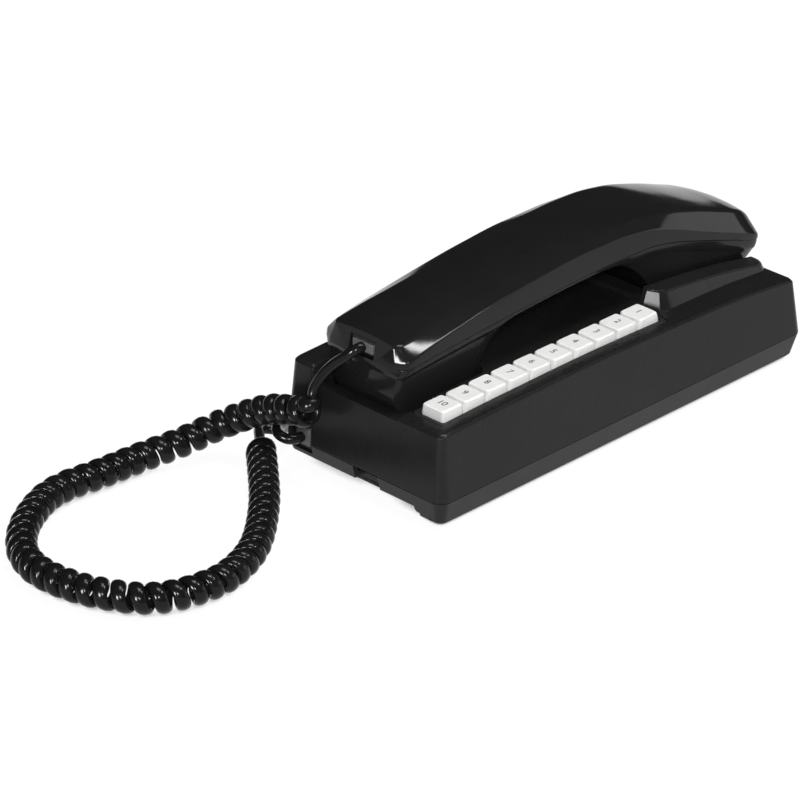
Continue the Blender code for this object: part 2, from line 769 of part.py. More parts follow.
BOARD_BOTTOM = 7.6 * MM
BOARD_FROM_LEFT = 19.0 * MM
BOARD_TO_KEYS = 2.0 * MM
BOARD_START = 66.0 * MM
BOARD_PAST_PLUNGER = 10.0 * MM
BUZZER_RADIUS = 12.0 * MM
BUZZER_HEIGHT = 8.0 * MM
BUZZER_AT = 42.0 * MM  # from the board's near edge


def board_box():
    right = key_row_box(0.6 * MM + BEZEL_SKIRT + 0.5 * MM)[0] - BOARD_TO_KEYS
    return (LEFT_X + BOARD_FROM_LEFT, right, along(BOARD_START),
            beside(PLUNGER_AT) + BOARD_PAST_PLUNGER)


def board_pillars():
    """Four pillars of the tray under the circuit board."""
    x0, x1, y0, y1 = board_box()
    places = [(x, y) for x in (x0 + 4 * MM, x1 - 4 * MM) for y in (y0 + 4 * MM, y1 - 4 * MM)]

    def make(mesh, number):
        x, y = places[number]
        bottom, top = FOOT_STANDOUT + FLOOR / 2, BOARD_BOTTOM - GAP
        matrix = Matrix.Translation((x, y, (bottom + top) / 2))
        bmesh.ops.create_cone(mesh, cap_ends=True, segments=12, radius1=2.5 * MM,
                              radius2=2.5 * MM, depth=top - bottom, matrix=matrix)

    return rows_of_tools("board_pillars", len(places), make)


def make_inside():
    x0, x1, y0, y1 = board_box()
    top = BOARD_BOTTOM + BOARD_THICKNESS
    slab("circuit_board", board_box(), 1.5 * MM, [(0.0, BOARD_BOTTOM), (0.0, top)], board_green())
    seat = top + GAP
    radius, height = BUZZER_RADIUS, BUZZER_HEIGHT
    turned("call_buzzer", [(radius - 0.5 * MM, seat), (radius, seat + 0.5 * MM),
                           (radius, seat + height - 1 * MM), (radius - 1 * MM, seat + height),
                           (0.2 * radius, seat + height), (0.2 * radius, seat + 0.7 * height)],
           ((x0 + x1) / 2, y0 + BUZZER_AT, 0.0), dark_plastic(), 28)
    make_terminal_block(seat, x0, x1, y0)
    make_hook_switch(seat)
    make_plunger()


TERMINALS = 6
TERMINAL_PITCH = 5.5 * MM
TERMINAL_DEPTH = 10.0 * MM
TERMINAL_HEIGHT = 9.0 * MM
TERMINAL_SETBACK = 8.0 * MM  # from the board's near edge


def make_terminal_block(seat, x0, x1, y0):
    """Screw terminals for the line wires, in a row across the circuit board."""
    pitch = TERMINAL_PITCH
    half = TERMINALS * pitch / 2
    middle = (x0 + x1) / 2
    low = (middle - half, y0 + TERMINAL_SETBACK, seat)
    high = (middle + half, low[1] + TERMINAL_DEPTH, seat + TERMINAL_HEIGHT)
    terminals = block("terminal_block", low, high, dark_plastic(), 0.4 * MM)

    def make(mesh, number):
        x = low[0] + (number + 0.5) * pitch
        matrix = Matrix.Translation((x, (low[1] + high[1]) / 2, high[2]))
        bmesh.ops.create_cone(mesh, cap_ends=True, segments=12, radius1=1.9 * MM,
                              radius2=1.9 * MM, depth=5 * MM, matrix=matrix)

    combine(terminals, rows_of_tools("terminal_wells", TERMINALS, make))


def plunger_foot():
    """Height of the plunger's lower end."""
    return POCKET_FLOOR - WALL - PLUNGER_TRAVEL - PLUNGER_FLANGE - 1.4 * MM


def make_plunger():
    """The hook: a round plunger that the earpiece holds down."""
    foot = plunger_foot()
    flange = foot + 1.0 * MM
    top = POCKET_FLOOR + HANDSET_RISE - GAP
    profile = [(1.6 * MM, foot), (1.8 * MM, flange), (PLUNGER_RADIUS + 1.6 * MM, flange),
               (PLUNGER_RADIUS + 1.6 * MM, flange + PLUNGER_FLANGE),
               (PLUNGER_RADIUS, flange + PLUNGER_FLANGE), (PLUNGER_RADIUS, top - 0.8 * MM),
               (0.6 * PLUNGER_RADIUS, top - 0.15 * MM), (0.2 * PLUNGER_RADIUS, top)]
    turned("hook_plunger", profile, (HANDSET_X, beside(PLUNGER_AT), 0.0), dark_plastic(), 20)


def make_hook_switch(seat):
    """A microswitch with a leaf that the plunger presses."""
    y = beside(PLUNGER_AT)
    body_top = seat + 11 * MM
    switch = block("hook_switch", (HANDSET_X - 4 * MM, y - 12 * MM, seat),
                   (HANDSET_X + 4 * MM, y + 8 * MM, body_top), dark_plastic(), 0.5 * MM)
    leaf_top = plunger_foot() - GAP
    leaf = bmesh.new()
    outline = [(y - 10.5 * MM, body_top - 1 * MM), (y - 9.5 * MM, body_top - 1 * MM),
               (y - 9.5 * MM, body_top + 1.5 * MM), (y + 2.5 * MM, leaf_top - 0.5 * MM),
               (y + 2.5 * MM, leaf_top), (y - 2.0 * MM, leaf_top), (y - 10.5 * MM, body_top + 2.2 * MM)]
    width = 2.2 * MM
    left = [leaf.verts.new((HANDSET_X - width, a, z)) for a, z in outline]
    right = [leaf.verts.new((HANDSET_X + width, a, z)) for a, z in outline]
    leaf.faces.new(left)
    leaf.faces.new(right[::-1])
    for i in range(len(outline)):
        j = (i + 1) % len(outline)
        leaf.faces.new((left[i], right[i], right[j], left[j]))
    combine(switch, place(leaf, "switch_leaf", None), "UNION")


def make_cord_jack():
    """The socket in the near left corner that the handset cord plugs into."""
    left = LEFT_X + JACK_LEFT + GAP
    right = left + JACK_WIDTH - 2 * GAP
    low = (left, along(2.2 * MM), RELIEF_HEIGHT + FLOOR)
    high = (right, along(JACK_DEPTH) - GAP, JACK_TOP - GAP)
    jack = block("cord_jack", low, high, dark_plastic(), 0.4 * MM)
    mouth = block("jack_mouth", (left + 1.6 * MM, low[1] - 2 * MM, low[2] + 1.4 * MM),
                  (right - 1.6 * MM, low[1] + 7 * MM, high[2] - 1.6 * MM))
    combine(jack, mouth)
    block("body_plug", (left + 1.6 * MM + GAP, low[1] - 1.0 * MM, low[2] + 1.4 * MM + GAP),
          (right - 1.6 * MM - GAP, low[1] + 7 * MM - GAP, high[2] - 1.6 * MM - GAP),
          dark_plastic(), 0.3 * MM)
    return jack


# ---------------------------------------------------------------- handset

HANDSET_RISE = 0.35 * MM  # the handset stands this far off the floors it rests on

# Lengthwise tables in millimetres: (place from the body's near end, height) for a line, or
# (place, wider than the grip by) for a width
CROWN = curve_through([(5.6, 67.8), (12, 68.8), (20, 69.8), (40, 72.2), (62, 74.4), (85, 76.4),
                       (109, 77.8), (130, 78.3), (148, 77.4), (164, 75.0), (182, 70.4),
                       (200, 64.6), (212, 60.3), (217, 57.4), (219, 55.4), (220, 53.2)])
EDGE = curve_through([(5.6, 66.8), (12, 67.5), (20, 68.5), (40, 70.8), (62, 72.8), (85, 74.8),
                      (109, 76.2), (130, 76.9), (148, 76.3), (164, 74.2), (182, 69.4),
                      (200, 63.2), (212, 58.6), (217, 55.7), (219, 53.8), (220, 51.8)])
CREASE = curve_through([(5.6, 60.2), (12, 62.0), (20, 64.0), (40, 67.4), (62, 70.6), (85, 73.0),
                        (109, 74.5), (130, 74.4), (148, 72.4), (164, 67.6), (182, 60.6),
                        (200, 53.8), (212, 49.4), (217, 47.7), (219, 47.1), (220, 46.8)])
PARTING = curve_through([(5.6, 57.8), (12, 58.5), (20, 59.2), (40, 60.4), (62, 61.6), (85, 62.8),
                         (109, 63.8), (130, 64.4), (148, 64.2), (164, 61.8), (182, 56.6),
                         (200, 50.8), (212, 46.9), (217, 45.6), (220, 44.9)])
WIDTH = curve_through([(5.6, -5.4), (7.6, -1.9), (9.4, 0.4), (14, 0.8), (30, 0.6), (62, 0.0),
                       (109, 0.0), (148, 0.8), (182, 1.4), (205, 1.2), (213, 0.9), (217, 0.4),
                       (219, -0.4), (220, -2.2)])
FLAT = curve_through([(5.6, -0.1), (7.6, 1.4), (9.4, 1.8), (22, 1.4), (40, 0.5), (62, 0),
                      (100, 0), (150, 2.4), (205, 2.4),
                      (213, 1.4), (217, 0.2), (219, -0.8), (220, -2.4)])
UNDERSIDE = curve_through([(7.2, 41.2), (8.7, 38.6), (9.6, 33.0), (11.2, 28.6), (14, 26.6), (19, 26.0),
                           (43, 26.0), (46, 27.2), (50, 32.8), (54, 42.0), (58, 50.0), (64, 55.2),
                           (72, 57.8), (85, 59.0), (109, 60.0), (124, 60.2), (135, 58.8),
                           (143, 54.8), (149, 49.6), (154, 43.0), (159, 37.4), (164, 34.4),
                           (170, 33.5), (204, 33.5), (208, 35.1), (211, 35.7), (213.5, 36.1),
                           (216, 37.0), (218.4, 39.8)])
UNDER_WIDTH = curve_through([(7.2, -6.4), (9.6, -5.8), (12, -4.6), (17, -4.4), (44, -4.4),
                             (52, -4.2), (65, -3.2), (109, -3.0), (135, -3.2), (154, -3.0),
                             (170, -2.4), (205, -2.4), (213, -2.4), (218.4, -3.4)])
LEDGE = curve_through([(7.2, 1.6), (14, 2.8), (46, 2.8), (58, 1.8), (72, 1.0), (130, 1.0),
                       (150, 0.8), (218.4, 0.6)])
NEAR_LEAN = 0.25  # of the near end face, for its height above the parting line
FLAT_WIDTH = -6.6 * MM  # half width of the back's flat, less the half width of the handset


def back_section(distance):
    """One side of the back shell's cross-section, from the parting line to the middle."""
    s = distance * MM
    half = HANDSET_HALF_WIDTH + WIDTH(s)
    flat = HANDSET_HALF_WIDTH + FLAT_WIDTH + FLAT(s)
    seam, crease = PARTING(s) + GAP / 2, CREASE(s)
    edge, crown = EDGE(s), CROWN(s)
    return [
        (half, seam),
        (half - 0.1 * MM, crease - 0.9 * MM),
        (half - 0.1 * MM - 0.09 * (half - flat), crease + 0.25 * MM),
        (flat + 0.9 * MM, edge - 0.45 * MM),
        (flat - 1.2 * MM, edge + 0.25 * MM),
        (0.5 * flat, crown - 0.3 * (crown - edge)),
        (0.0, crown),
    ]


def front_section(distance):
    """One side of the front shell's cross-section, from the parting line to the middle."""
    s = distance * MM
    half = HANDSET_HALF_WIDTH + WIDTH(s) - FRONT_STEP
    under_half = min(HANDSET_HALF_WIDTH + UNDER_WIDTH(s), half - 1.2 * MM)
    seam = PARTING(s) - GAP / 2
    bottom = UNDERSIDE(s) + HANDSET_RISE
    drop = seam - bottom
    skirt = min(3.6 * MM, 0.5 * drop)
    wall = max(half - 0.25 * MM - LEDGE(s), under_half + 0.3 * MM)
    return [
        (half, seam),
        (half - 0.25 * MM, seam - 0.55 * skirt),
        (0.35 * half + 0.65 * wall, seam - skirt),
        (wall, seam - skirt - min(1.2 * MM, 0.1 * drop)),
        (under_half, bottom + min(0.9 * MM, 0.15 * drop)),
        (under_half - 1.6 * MM, bottom),
        (0.5 * under_half, bottom),
        (0.0, bottom),
    ]


def lean(distance, height):
    """How far the handset's near end leans back at a height, fading out along it."""
    fade = max(1.0 - (distance * MM - HANDSET_SETBACK) / (24 * MM), 0.0)
    return NEAR_LEAN * fade * fade * max(height - PARTING(HANDSET_SETBACK), 0.0)


def loft(name, section, places, finish):
    """A solid through closed cross-sections at several places along the handset."""
    mesh = bmesh.new()
    rings = []
    for distance in places:
        half = section(distance)
        whole = [(-x, z) for x, z in half] + [(x, z) for x, z in half[-2::-1]]
        y = beside(distance * MM)
        rings.append([mesh.verts.new((HANDSET_X + x, y + lean(distance, z), z)) for x, z in whole])
    for near, far in zip(rings, rings[1:]):
        for i in range(len(near)):
            j = (i + 1) % len(near)
            mesh.faces.new((near[i], near[j], far[j], far[i]))
    mesh.faces.new(rings[0][::-1])
    mesh.faces.new(rings[-1])
    return place(mesh, name, finish, 30)


def offset_inward(line, distance, sign):
    """Height of a line parallel to a lengthwise line, one wall thickness inside it."""
    steps = [k / 3 for k in range(-3, 4)]
    reach = [sign * line((distance + k * SHELL / MM) * MM)
             + SHELL * math.sqrt(1 - k * k) for k in steps]
    return sign * max(reach)


def narrowed(section, distance, height):
    """A cross-section drawn in by one wall, with its middle at a given height."""
    points = section(distance)
    half, middle = points[0][0], points[-1][1]
    share = (half - SHELL) / half
    moved = [(x * share, z + height - middle) for x, z in points]
    return points[0][1], moved


def back_hollow_section(distance):
    height = offset_inward(CROWN, distance, -1.0)
    seam, moved = narrowed(back_section, distance, height)
    return [(moved[0][0], seam - 1.5 * MM)] + moved[1:]


def front_hollow_section(distance):
    height = offset_inward(UNDERSIDE, distance, 1.0) + HANDSET_RISE
    seam, moved = narrowed(front_section, distance, height)
    return [(moved[0][0], seam + 1.5 * MM)] + [(x, min(z, seam + 1.2 * MM)) for x, z in moved[1:]]


BACK_PLACES = (5.6, 7.6, 9.4, 14, 22, 31, 40, 51, 62, 85, 109, 125, 139, 148, 156, 164, 173, 182,
               191, 200, 207, 213, 217, 219.2, 220)
FRONT_PLACES = (7.2, 8.7, 9.6, 11.2, 14, 19, 24, 32, 42, 45, 48, 51, 54, 57, 60, 65, 72, 85,
                109, 124, 132, 139, 145, 150, 155, 160, 165, 171, 188, 204, 208, 211, 214, 216.4,
                218.2)
BACK_HOLLOW_PLACES = (7.8, 9.2, 14, 22, 31, 40, 62, 85, 109, 125, 139, 148, 156, 164, 173, 182,
                      191, 200, 207, 213, 216.6)
FRONT_HOLLOW_PLACES = (11.4, 13, 15.2, 18, 22, 32, 42, 45, 48, 51, 54, 57, 60, 65, 72, 85,
                       109, 124, 132, 139, 145, 150, 155, 160, 165, 171, 188, 204, 208, 211,
                       213.6)


def capsule(name, at, radius, depth, seat):
    """A round capsule with a stepped edge and a dished back, on the inside of a face."""
    profile = [(radius - 0.8 * MM, seat), (radius, seat + 0.8 * MM),
               (radius, seat + 0.45 * depth), (radius - 1.2 * MM, seat + 0.5 * depth),
               (radius - 1.6 * MM, seat + depth), (0.35 * radius, seat + depth),
               (0.3 * radius, seat + depth - 0.6 * MM)]
    return turned(name, profile, (HANDSET_X, beside(at), 0.0), dark_plastic(), 28)


def sound_holes(name, at, ring_radius, count, floor):
    """A ring of sound holes round a middle one."""
    y = beside(at)

    def make(mesh, number):
        angle = 2 * math.pi * number / (count - 1)
        reach = ring_radius if number < count - 1 else 0.0
        middle = (HANDSET_X + reach * math.cos(angle), y + reach * math.sin(angle), floor)
        bmesh.ops.create_cone(mesh, cap_ends=True, segments=8, radius1=SOUND_HOLE_RADIUS,
                              radius2=SOUND_HOLE_RADIUS, depth=4 * SHELL,
                              matrix=Matrix.Translation(middle))

    return rows_of_tools(name, count, make)


def inner_face(distance):
    """Height of the front shell's inside, over the place it covers."""
    return UNDERSIDE(distance) + HANDSET_RISE + SHELL


def make_capsules():
    seat = inner_face(RECEIVER_AT) + GAP
    hole = RECEIVER_RADIUS - 3.5 * MM
    gasket = [(hole, seat), (hole, seat + GASKET_THICKNESS),
              (RECEIVER_RADIUS, seat + GASKET_THICKNESS), (RECEIVER_RADIUS, seat)]
    ring("receiver_gasket", gasket, (HANDSET_X, beside(RECEIVER_AT), 0.0), rubber(), 28)
    capsule("receiver_capsule", RECEIVER_AT, RECEIVER_RADIUS, RECEIVER_DEPTH,
            seat + GASKET_THICKNESS + GAP)
    capsule("microphone_capsule", MICROPHONE_AT, MICROPHONE_RADIUS, MICROPHONE_DEPTH,
            inner_face(MICROPHONE_AT) + GAP)


def ring(name, profile, at, finish, steps):
    """A turned solid with a hole through it, from its closed (radius, height) outline."""
    count = len(profile)
    data = bpy.data.meshes.new(name)
    data.from_pydata([(r, 0.0, z) for r, z in profile], [(i, (i + 1) % count) for i in range(count)],
                     [])
    made = bpy.data.objects.new(name, data)
    data.materials.append(finish)
    parts.objects.link(made)
    made.location = at
    screw = made.modifiers.new("turn", "SCREW")
    screw.steps = steps
    screw.render_steps = steps
    screw.use_merge_vertices = True
    screw.merge_threshold = 0.00005
    return made


HANDSET_JACK_HALF_WIDTH = 6.8 * MM
HANDSET_JACK_BOTTOM = 58.0 * MM + 0.4 * MM
HANDSET_JACK_TOP = 64.9 * MM
HANDSET_JACK_DEPTH = 12.0 * MM
MOUTH_MARGIN = 0.9 * MM
PLUG_STANDOUT = 1.2 * MM


def make_handset_jack():
    """The socket in the handset's near end, with the cord's plug in it."""
    half, bottom, top = HANDSET_JACK_HALF_WIDTH, HANDSET_JACK_BOTTOM, HANDSET_JACK_TOP
    front = beside(HANDSET_SETBACK) + lean(HANDSET_SETBACK / MM, top) + 0.5 * MM
    jack = block("handset_jack", (HANDSET_X - half, front, bottom),
                 (HANDSET_X + half, front + HANDSET_JACK_DEPTH, top), dark_plastic(), 0.3 * MM)
    mouth = MOUTH_MARGIN
    combine(jack, block("handset_jack_mouth",
                        (HANDSET_X - half + mouth, front - 2 * MM, bottom + mouth),
                        (HANDSET_X + half - mouth, front + 8 * MM, top - mouth)))
    inset = mouth + GAP
    plug = block("handset_plug",
                 (HANDSET_X - half + inset, front - PLUG_STANDOUT, bottom + inset),
                 (HANDSET_X + half - inset, front + 8 * MM - GAP, top - inset),
                 dark_plastic(), 0.3 * MM)
    return jack, plug


def handset_jack_window():
    half = HANDSET_JACK_HALF_WIDTH + GAP
    return block("handset_jack_window",
                 (HANDSET_X - half, beside(HANDSET_SETBACK) - 4 * MM, HANDSET_JACK_BOTTOM - GAP),
                 (HANDSET_X + half, beside(HANDSET_SETBACK) + HANDSET_JACK_DEPTH + 2 * MM,
                  HANDSET_JACK_TOP + GAP))


# ---------------------------------------------------------------- cord

# Routes in millimetres, through places chosen along the cord as it lies
HANDSET_LEAD_ROUTE = [(-5.6, -105.6, 61.5), (-7.1, -107.8, 60.0),
                      (-9.6, -109.1, 57.6), (-14.1, -110.6, 53.5), (-18.2, -112.4, 48.4),
                      (-20.5, -113.9, 43.9), (-21.2, -115.2, 40.4)]
COIL_ROUTE = [(-20.8, -117.9, 33.0), (-31.5, -118.8, 29.8), (-45.9, -119.0, 24.4),
              (-62.7, -125.6, 14.6), (-70.5, -141.2, 9.2), (-75.8, -158.6, 6.8),
              (-77.3, -179.6, 6.7), (-79.1, -195.8, 6.7), (-76.5, -210.0, 6.7),
              (-66.3, -228.0, 6.7), (-53.3, -240.8, 6.7), (-40.5, -246.8, 6.7),
              (-27.8, -247.8, 6.7), (-14.0, -245.4, 6.7), (-2.8, -240.9, 6.7),
              (7.7, -234.4, 6.7), (14.4, -225.6, 6.7), (18.0, -213.5, 6.7), (18.5, -200.0, 6.7),
              (13.0, -183.3, 6.7), (3.0, -168.1, 6.7), (-14.7, -148.6, 6.7),
              (-33.5, -131.6, 6.7), (-49.3, -118.0, 6.7), (-57.0, -111.4, 6.7)]
BODY_LEAD_ROUTE = [(-57.5, -110.98, 6.7), (-59.7, -108.9, 6.3), (-61.1, -105.6, 5.4),
                   (-58.9, -102.4, 4.8), (-54.9, -101.6, 5.2), (-51.1, -102.8, 8.4),
                   (-47.9, -107.4, 12.8), (-44.9, -113.0, 15.0), (-40.7, -116.2, 14.8),
                   (-36.5, -115.4, 13.6), (-34.2, -112.4, 13.4), (-34.1, -109.5, 13.4)]


def smooth_route(route, spacing):
    """Points at an even spacing on a smooth curve through a route."""
    ends = [Vector(route[0]) * 2 - Vector(route[1]), Vector(route[-1]) * 2 - Vector(route[-2])]
    knots = [ends[0]] + [Vector(p) for p in route] + [ends[1]]
    fine = []
    for i in range(1, len(knots) - 2):
        a, b, c, d = knots[i - 1:i + 3]
        for k in range(12):
            t = k / 12
            fine.append(0.5 * (2 * b + (c - a) * t + (2 * a - 5 * b + 4 * c - d) * t ** 2
                               + (3 * b - a - 3 * c + d) * t ** 3))
    fine.append(knots[-2])
    steps = [0.0]
    for before, after in zip(fine, fine[1:]):
        steps.append(steps[-1] + (after - before).length)
    count = max(int(round(steps[-1] / spacing)), 2)
    wanted = np.linspace(0.0, steps[-1], count + 1)
    return np.array([np.interp(wanted, steps, [p[axis] for p in fine]) for axis in range(3)]).T


def tube(name, route, radius, finish):
    """A round tube along a route."""
    data = bpy.data.curves.new(name, "CURVE")
    data.dimensions = "3D"
    data.bevel_depth = radius
    data.bevel_resolution = 2
    data.use_fill_caps = True
    line = data.splines.new("POLY")
    points = smooth_route(route, 2.4 * radius / MM)
    line.points.add(len(points) - 1)
    for number, point in enumerate(points):
        line.points[number].co = (*(point * MM), 1.0)
    data.materials.append(finish)
    made = bpy.data.objects.new(name, data)
    parts.objects.link(made)
    return made


def make_cord():
    tube("cord_handset_lead", HANDSET_LEAD_ROUTE, STRAND_RADIUS, black_plastic())
    tube("cord_coil", COIL_ROUTE, COIL_RADIUS, black_plastic())
    tube("cord_body_lead", BODY_LEAD_ROUTE, STRAND_RADIUS, black_plastic())


def make_handset():
    back = loft("handset_back_shell", back_section, BACK_PLACES, black_plastic())
    combine(back, loft("back_hollow", back_hollow_section, BACK_HOLLOW_PLACES, None))
    front = loft("handset_front_shell", front_section, FRONT_PLACES, black_plastic())
    combine(front, loft("front_hollow", front_hollow_section, FRONT_HOLLOW_PLACES, None))
    combine(back, handset_jack_window())
    combine(front, sound_holes("receiver_holes", RECEIVER_AT, 7 * MM, 7, POCKET_FLOOR))
    combine(front, sound_holes("microphone_holes", MICROPHONE_AT, 4 * MM, 7, WELL_FLOOR))
    return back, front


# ---------------------------------------------------------------- assembly


def collection(name):
    made = bpy.data.collections.new(name)
    bpy.context.scene.collection.children.link(made)
    return made


def main():
    global parts, cutters
    for old in list(bpy.data.objects):
        bpy.data.objects.remove(old, do_unlink=True)
    parts = collection("intercom_telephone")
    cutters = collection("cutters")
    make_base_tray()
    make_top_cover()
    make_feet()
    make_cover_screws()
    make_bezel()
    make_keys()
    make_switch_bank()
    make_inside()
    make_cord_jack()
    make_handset()
    make_capsules()
    make_handset_jack()
    make_cord()


main()
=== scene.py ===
"""Looks of the push-button intercom telephone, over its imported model."""

import json  # noqa: E402
import math  # noqa: E402

import bmesh  # noqa: E402
import bpy  # noqa: E402
import numpy as np  # noqa: E402
from mathutils import Matrix, Vector  # noqa: E402


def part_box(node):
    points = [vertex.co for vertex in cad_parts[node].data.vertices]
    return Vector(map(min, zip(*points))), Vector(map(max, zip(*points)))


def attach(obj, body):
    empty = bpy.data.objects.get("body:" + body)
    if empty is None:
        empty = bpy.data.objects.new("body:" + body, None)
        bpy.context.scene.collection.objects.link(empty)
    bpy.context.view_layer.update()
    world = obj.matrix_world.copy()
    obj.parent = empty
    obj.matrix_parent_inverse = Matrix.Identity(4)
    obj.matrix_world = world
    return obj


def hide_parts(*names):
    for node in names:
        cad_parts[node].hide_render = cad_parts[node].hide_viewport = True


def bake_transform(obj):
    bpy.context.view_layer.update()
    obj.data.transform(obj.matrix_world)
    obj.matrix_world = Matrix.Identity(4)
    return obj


MM = 0.001

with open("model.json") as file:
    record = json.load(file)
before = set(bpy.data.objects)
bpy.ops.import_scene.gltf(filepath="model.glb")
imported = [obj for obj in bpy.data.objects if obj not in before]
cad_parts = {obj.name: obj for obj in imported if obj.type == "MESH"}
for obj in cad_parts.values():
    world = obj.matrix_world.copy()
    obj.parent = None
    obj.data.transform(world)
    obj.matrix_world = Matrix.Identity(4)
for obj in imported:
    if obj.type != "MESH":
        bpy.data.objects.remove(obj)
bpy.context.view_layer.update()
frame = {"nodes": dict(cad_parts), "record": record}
NODES = frame["nodes"]

# ---------------------------------------------------------------- materials

NOISE_RANGE = (0.3, 0.7)  # where most of a noise's values lie
NOISE_ROUGHNESS = 0.55
MOTTLING, GLOSS_PATCHES, GRAIN = 38.0, 90.0, 2600.0  # noise scales of moulded plastic
PLASTIC_SPECULAR = 0.14
PLASTIC_GRAIN = 0.08 * MM  # depth of the finest grain
STEEL_GRAIN = 0.06 * MM
EDGE_SAMPLES = 8
WELD_DISTANCE = 0.01 * MM  # closer vertices of a CAD node become one
FOLD_ANGLE = 30.0  # degrees; a fold sharper than this stays crisp
FLAT_WEIGHT = 60  # how much the largest faces decide the shading

# Moulded plastics, rubber and vinyl by slot: name, darkest and lightest colour, roughness,
# strength of the grain, and how far the edges are softened
PLASTICS = {
    "cover": ("cover_plastic", (0.0115, 0.0115, 0.0116), (0.0138, 0.0138, 0.0140),
              0.26, 0.10, 0.4 * MM),
    "tray": ("tray_plastic", (0.0120, 0.0120, 0.0121), (0.0142, 0.0142, 0.0145),
             0.34, 0.14, 0.4 * MM),
    "handset": ("handset_plastic", (0.0112, 0.0112, 0.0113), (0.0134, 0.0134, 0.0136),
                0.10, 0.05, 0.4 * MM),
    "bezel": ("bezel_plastic", (0.016, 0.016, 0.017), (0.022, 0.022, 0.023),
              0.42, 0.12, 0.25 * MM),
    "dark_mouldings": ("dark_moulding", (0.018, 0.018, 0.019), (0.026, 0.026, 0.027),
                       0.5, 0.2, 0.4 * MM),
    "buttons": ("button_plastic", (0.80, 0.80, 0.785), (0.84, 0.84, 0.825),
                0.30, 0.05, 0.35 * MM),
    "sockets": ("socket_plastic", (0.022, 0.022, 0.023), (0.03, 0.03, 0.031),
                0.38, 0.1, 0.2 * MM),
    "plugs": ("plug_plastic", (0.10, 0.10, 0.105), (0.15, 0.15, 0.155),
              0.16, 0.04, 0.2 * MM),
    "feet": ("foot_rubber", (0.012, 0.012, 0.012), (0.02, 0.02, 0.02),
             0.75, 0.4, 0.4 * MM),
    "cord": ("cord_vinyl", (0.007, 0.007, 0.0075), (0.010, 0.010, 0.0105),
             0.17, 0.03, 0.1 * MM),
}


class Nodes:
    """A node tree, with short ways to add nodes and to join them."""

    def __init__(self, tree):
        self.tree = tree

    def node(self, kind, **sockets):
        """A new node with values on its sockets. A socket named From Min is given as From_Min."""
        made = self.tree.nodes.new(kind)
        for name, value in sockets.items():
            made.inputs[name.replace("_", " ")].default_value = value
        return made

    def link(self, source, target):
        self.tree.links.new(source, target)

    def calculate(self, operation, *values):
        """What a Math node makes of numbers and other nodes' outputs."""
        made = self.node("ShaderNodeMath")
        made.operation = operation
        for socket, value in zip(made.inputs, values):
            if isinstance(value, float):
                socket.default_value = value
            else:
                self.link(value, socket)
        return made.outputs["Value"]

    def spread(self, source, low, high, start=NOISE_RANGE[0], end=NOISE_RANGE[1]):
        """A value that runs from low to high as the source runs from start to end."""
        made = self.node("ShaderNodeMapRange", From_Min=start, From_Max=end, To_Min=low,
                         To_Max=high)
        self.link(source, made.inputs["Value"])
        return made.outputs["Result"]


class Shader(Nodes):
    """A Principled material and its nodes."""

    def __init__(self, name, colour, roughness, metallic=0.0, specular=0.5):
        self.material = bpy.data.materials.new(name)
        self.material.use_nodes = True
        super().__init__(self.material.node_tree)
        self.principled = self.tree.nodes["Principled BSDF"]
        self.set("Base Color", (*colour, 1.0))
        self.set("Roughness", roughness)
        self.set("Metallic", metallic)
        self.set("Specular IOR Level", specular)
        self.where = self.node("ShaderNodeTexCoord").outputs["Object"]

    def set(self, socket, value):
        self.principled.inputs[socket].default_value = value

    def noise(self, scale, detail=3.0):
        made = self.node("ShaderNodeTexNoise", Scale=scale, Detail=detail,
                         Roughness=NOISE_ROUGHNESS)
        self.link(self.where, made.inputs["Vector"])
        return made.outputs["Fac"]

    def tint(self, source, first, second):
        """The surface's colour runs from the first to the second with the source."""
        ramp = self.node("ShaderNodeValToRGB")
        for point, place, colour in zip(ramp.color_ramp.elements, NOISE_RANGE, (first, second)):
            point.position = place
            point.color = (*colour, 1.0)
        self.link(source, ramp.inputs["Fac"])
        self.link(ramp.outputs["Color"], self.principled.inputs["Base Color"])

    def bump(self, source, strength, distance, normal=None):
        made = self.node("ShaderNodeBump", Strength=strength, Distance=distance)
        self.link(source, made.inputs["Height"])
        if normal:
            self.link(normal, made.inputs["Normal"])
        self.link(made.outputs["Normal"], self.principled.inputs["Normal"])

    def soft_edges(self, radius):
        made = self.node("ShaderNodeBevel", Radius=radius)
        made.samples = EDGE_SAMPLES
        return made.outputs["Normal"]


def moulded(name, dark, light, roughness, grain, edge):
    """Injection-moulded plastic: faint mottling, uneven gloss and a fine grain."""
    made = Shader(name, dark, roughness, specular=PLASTIC_SPECULAR)
    made.tint(made.noise(MOTTLING, 4.0), dark, light)
    made.link(made.spread(made.noise(GLOSS_PATCHES, 5.0), roughness * 0.86, roughness * 1.16),
              made.principled.inputs["Roughness"])
    made.bump(made.noise(GRAIN, 2.0), grain, PLASTIC_GRAIN, made.soft_edges(edge))
    return made.material


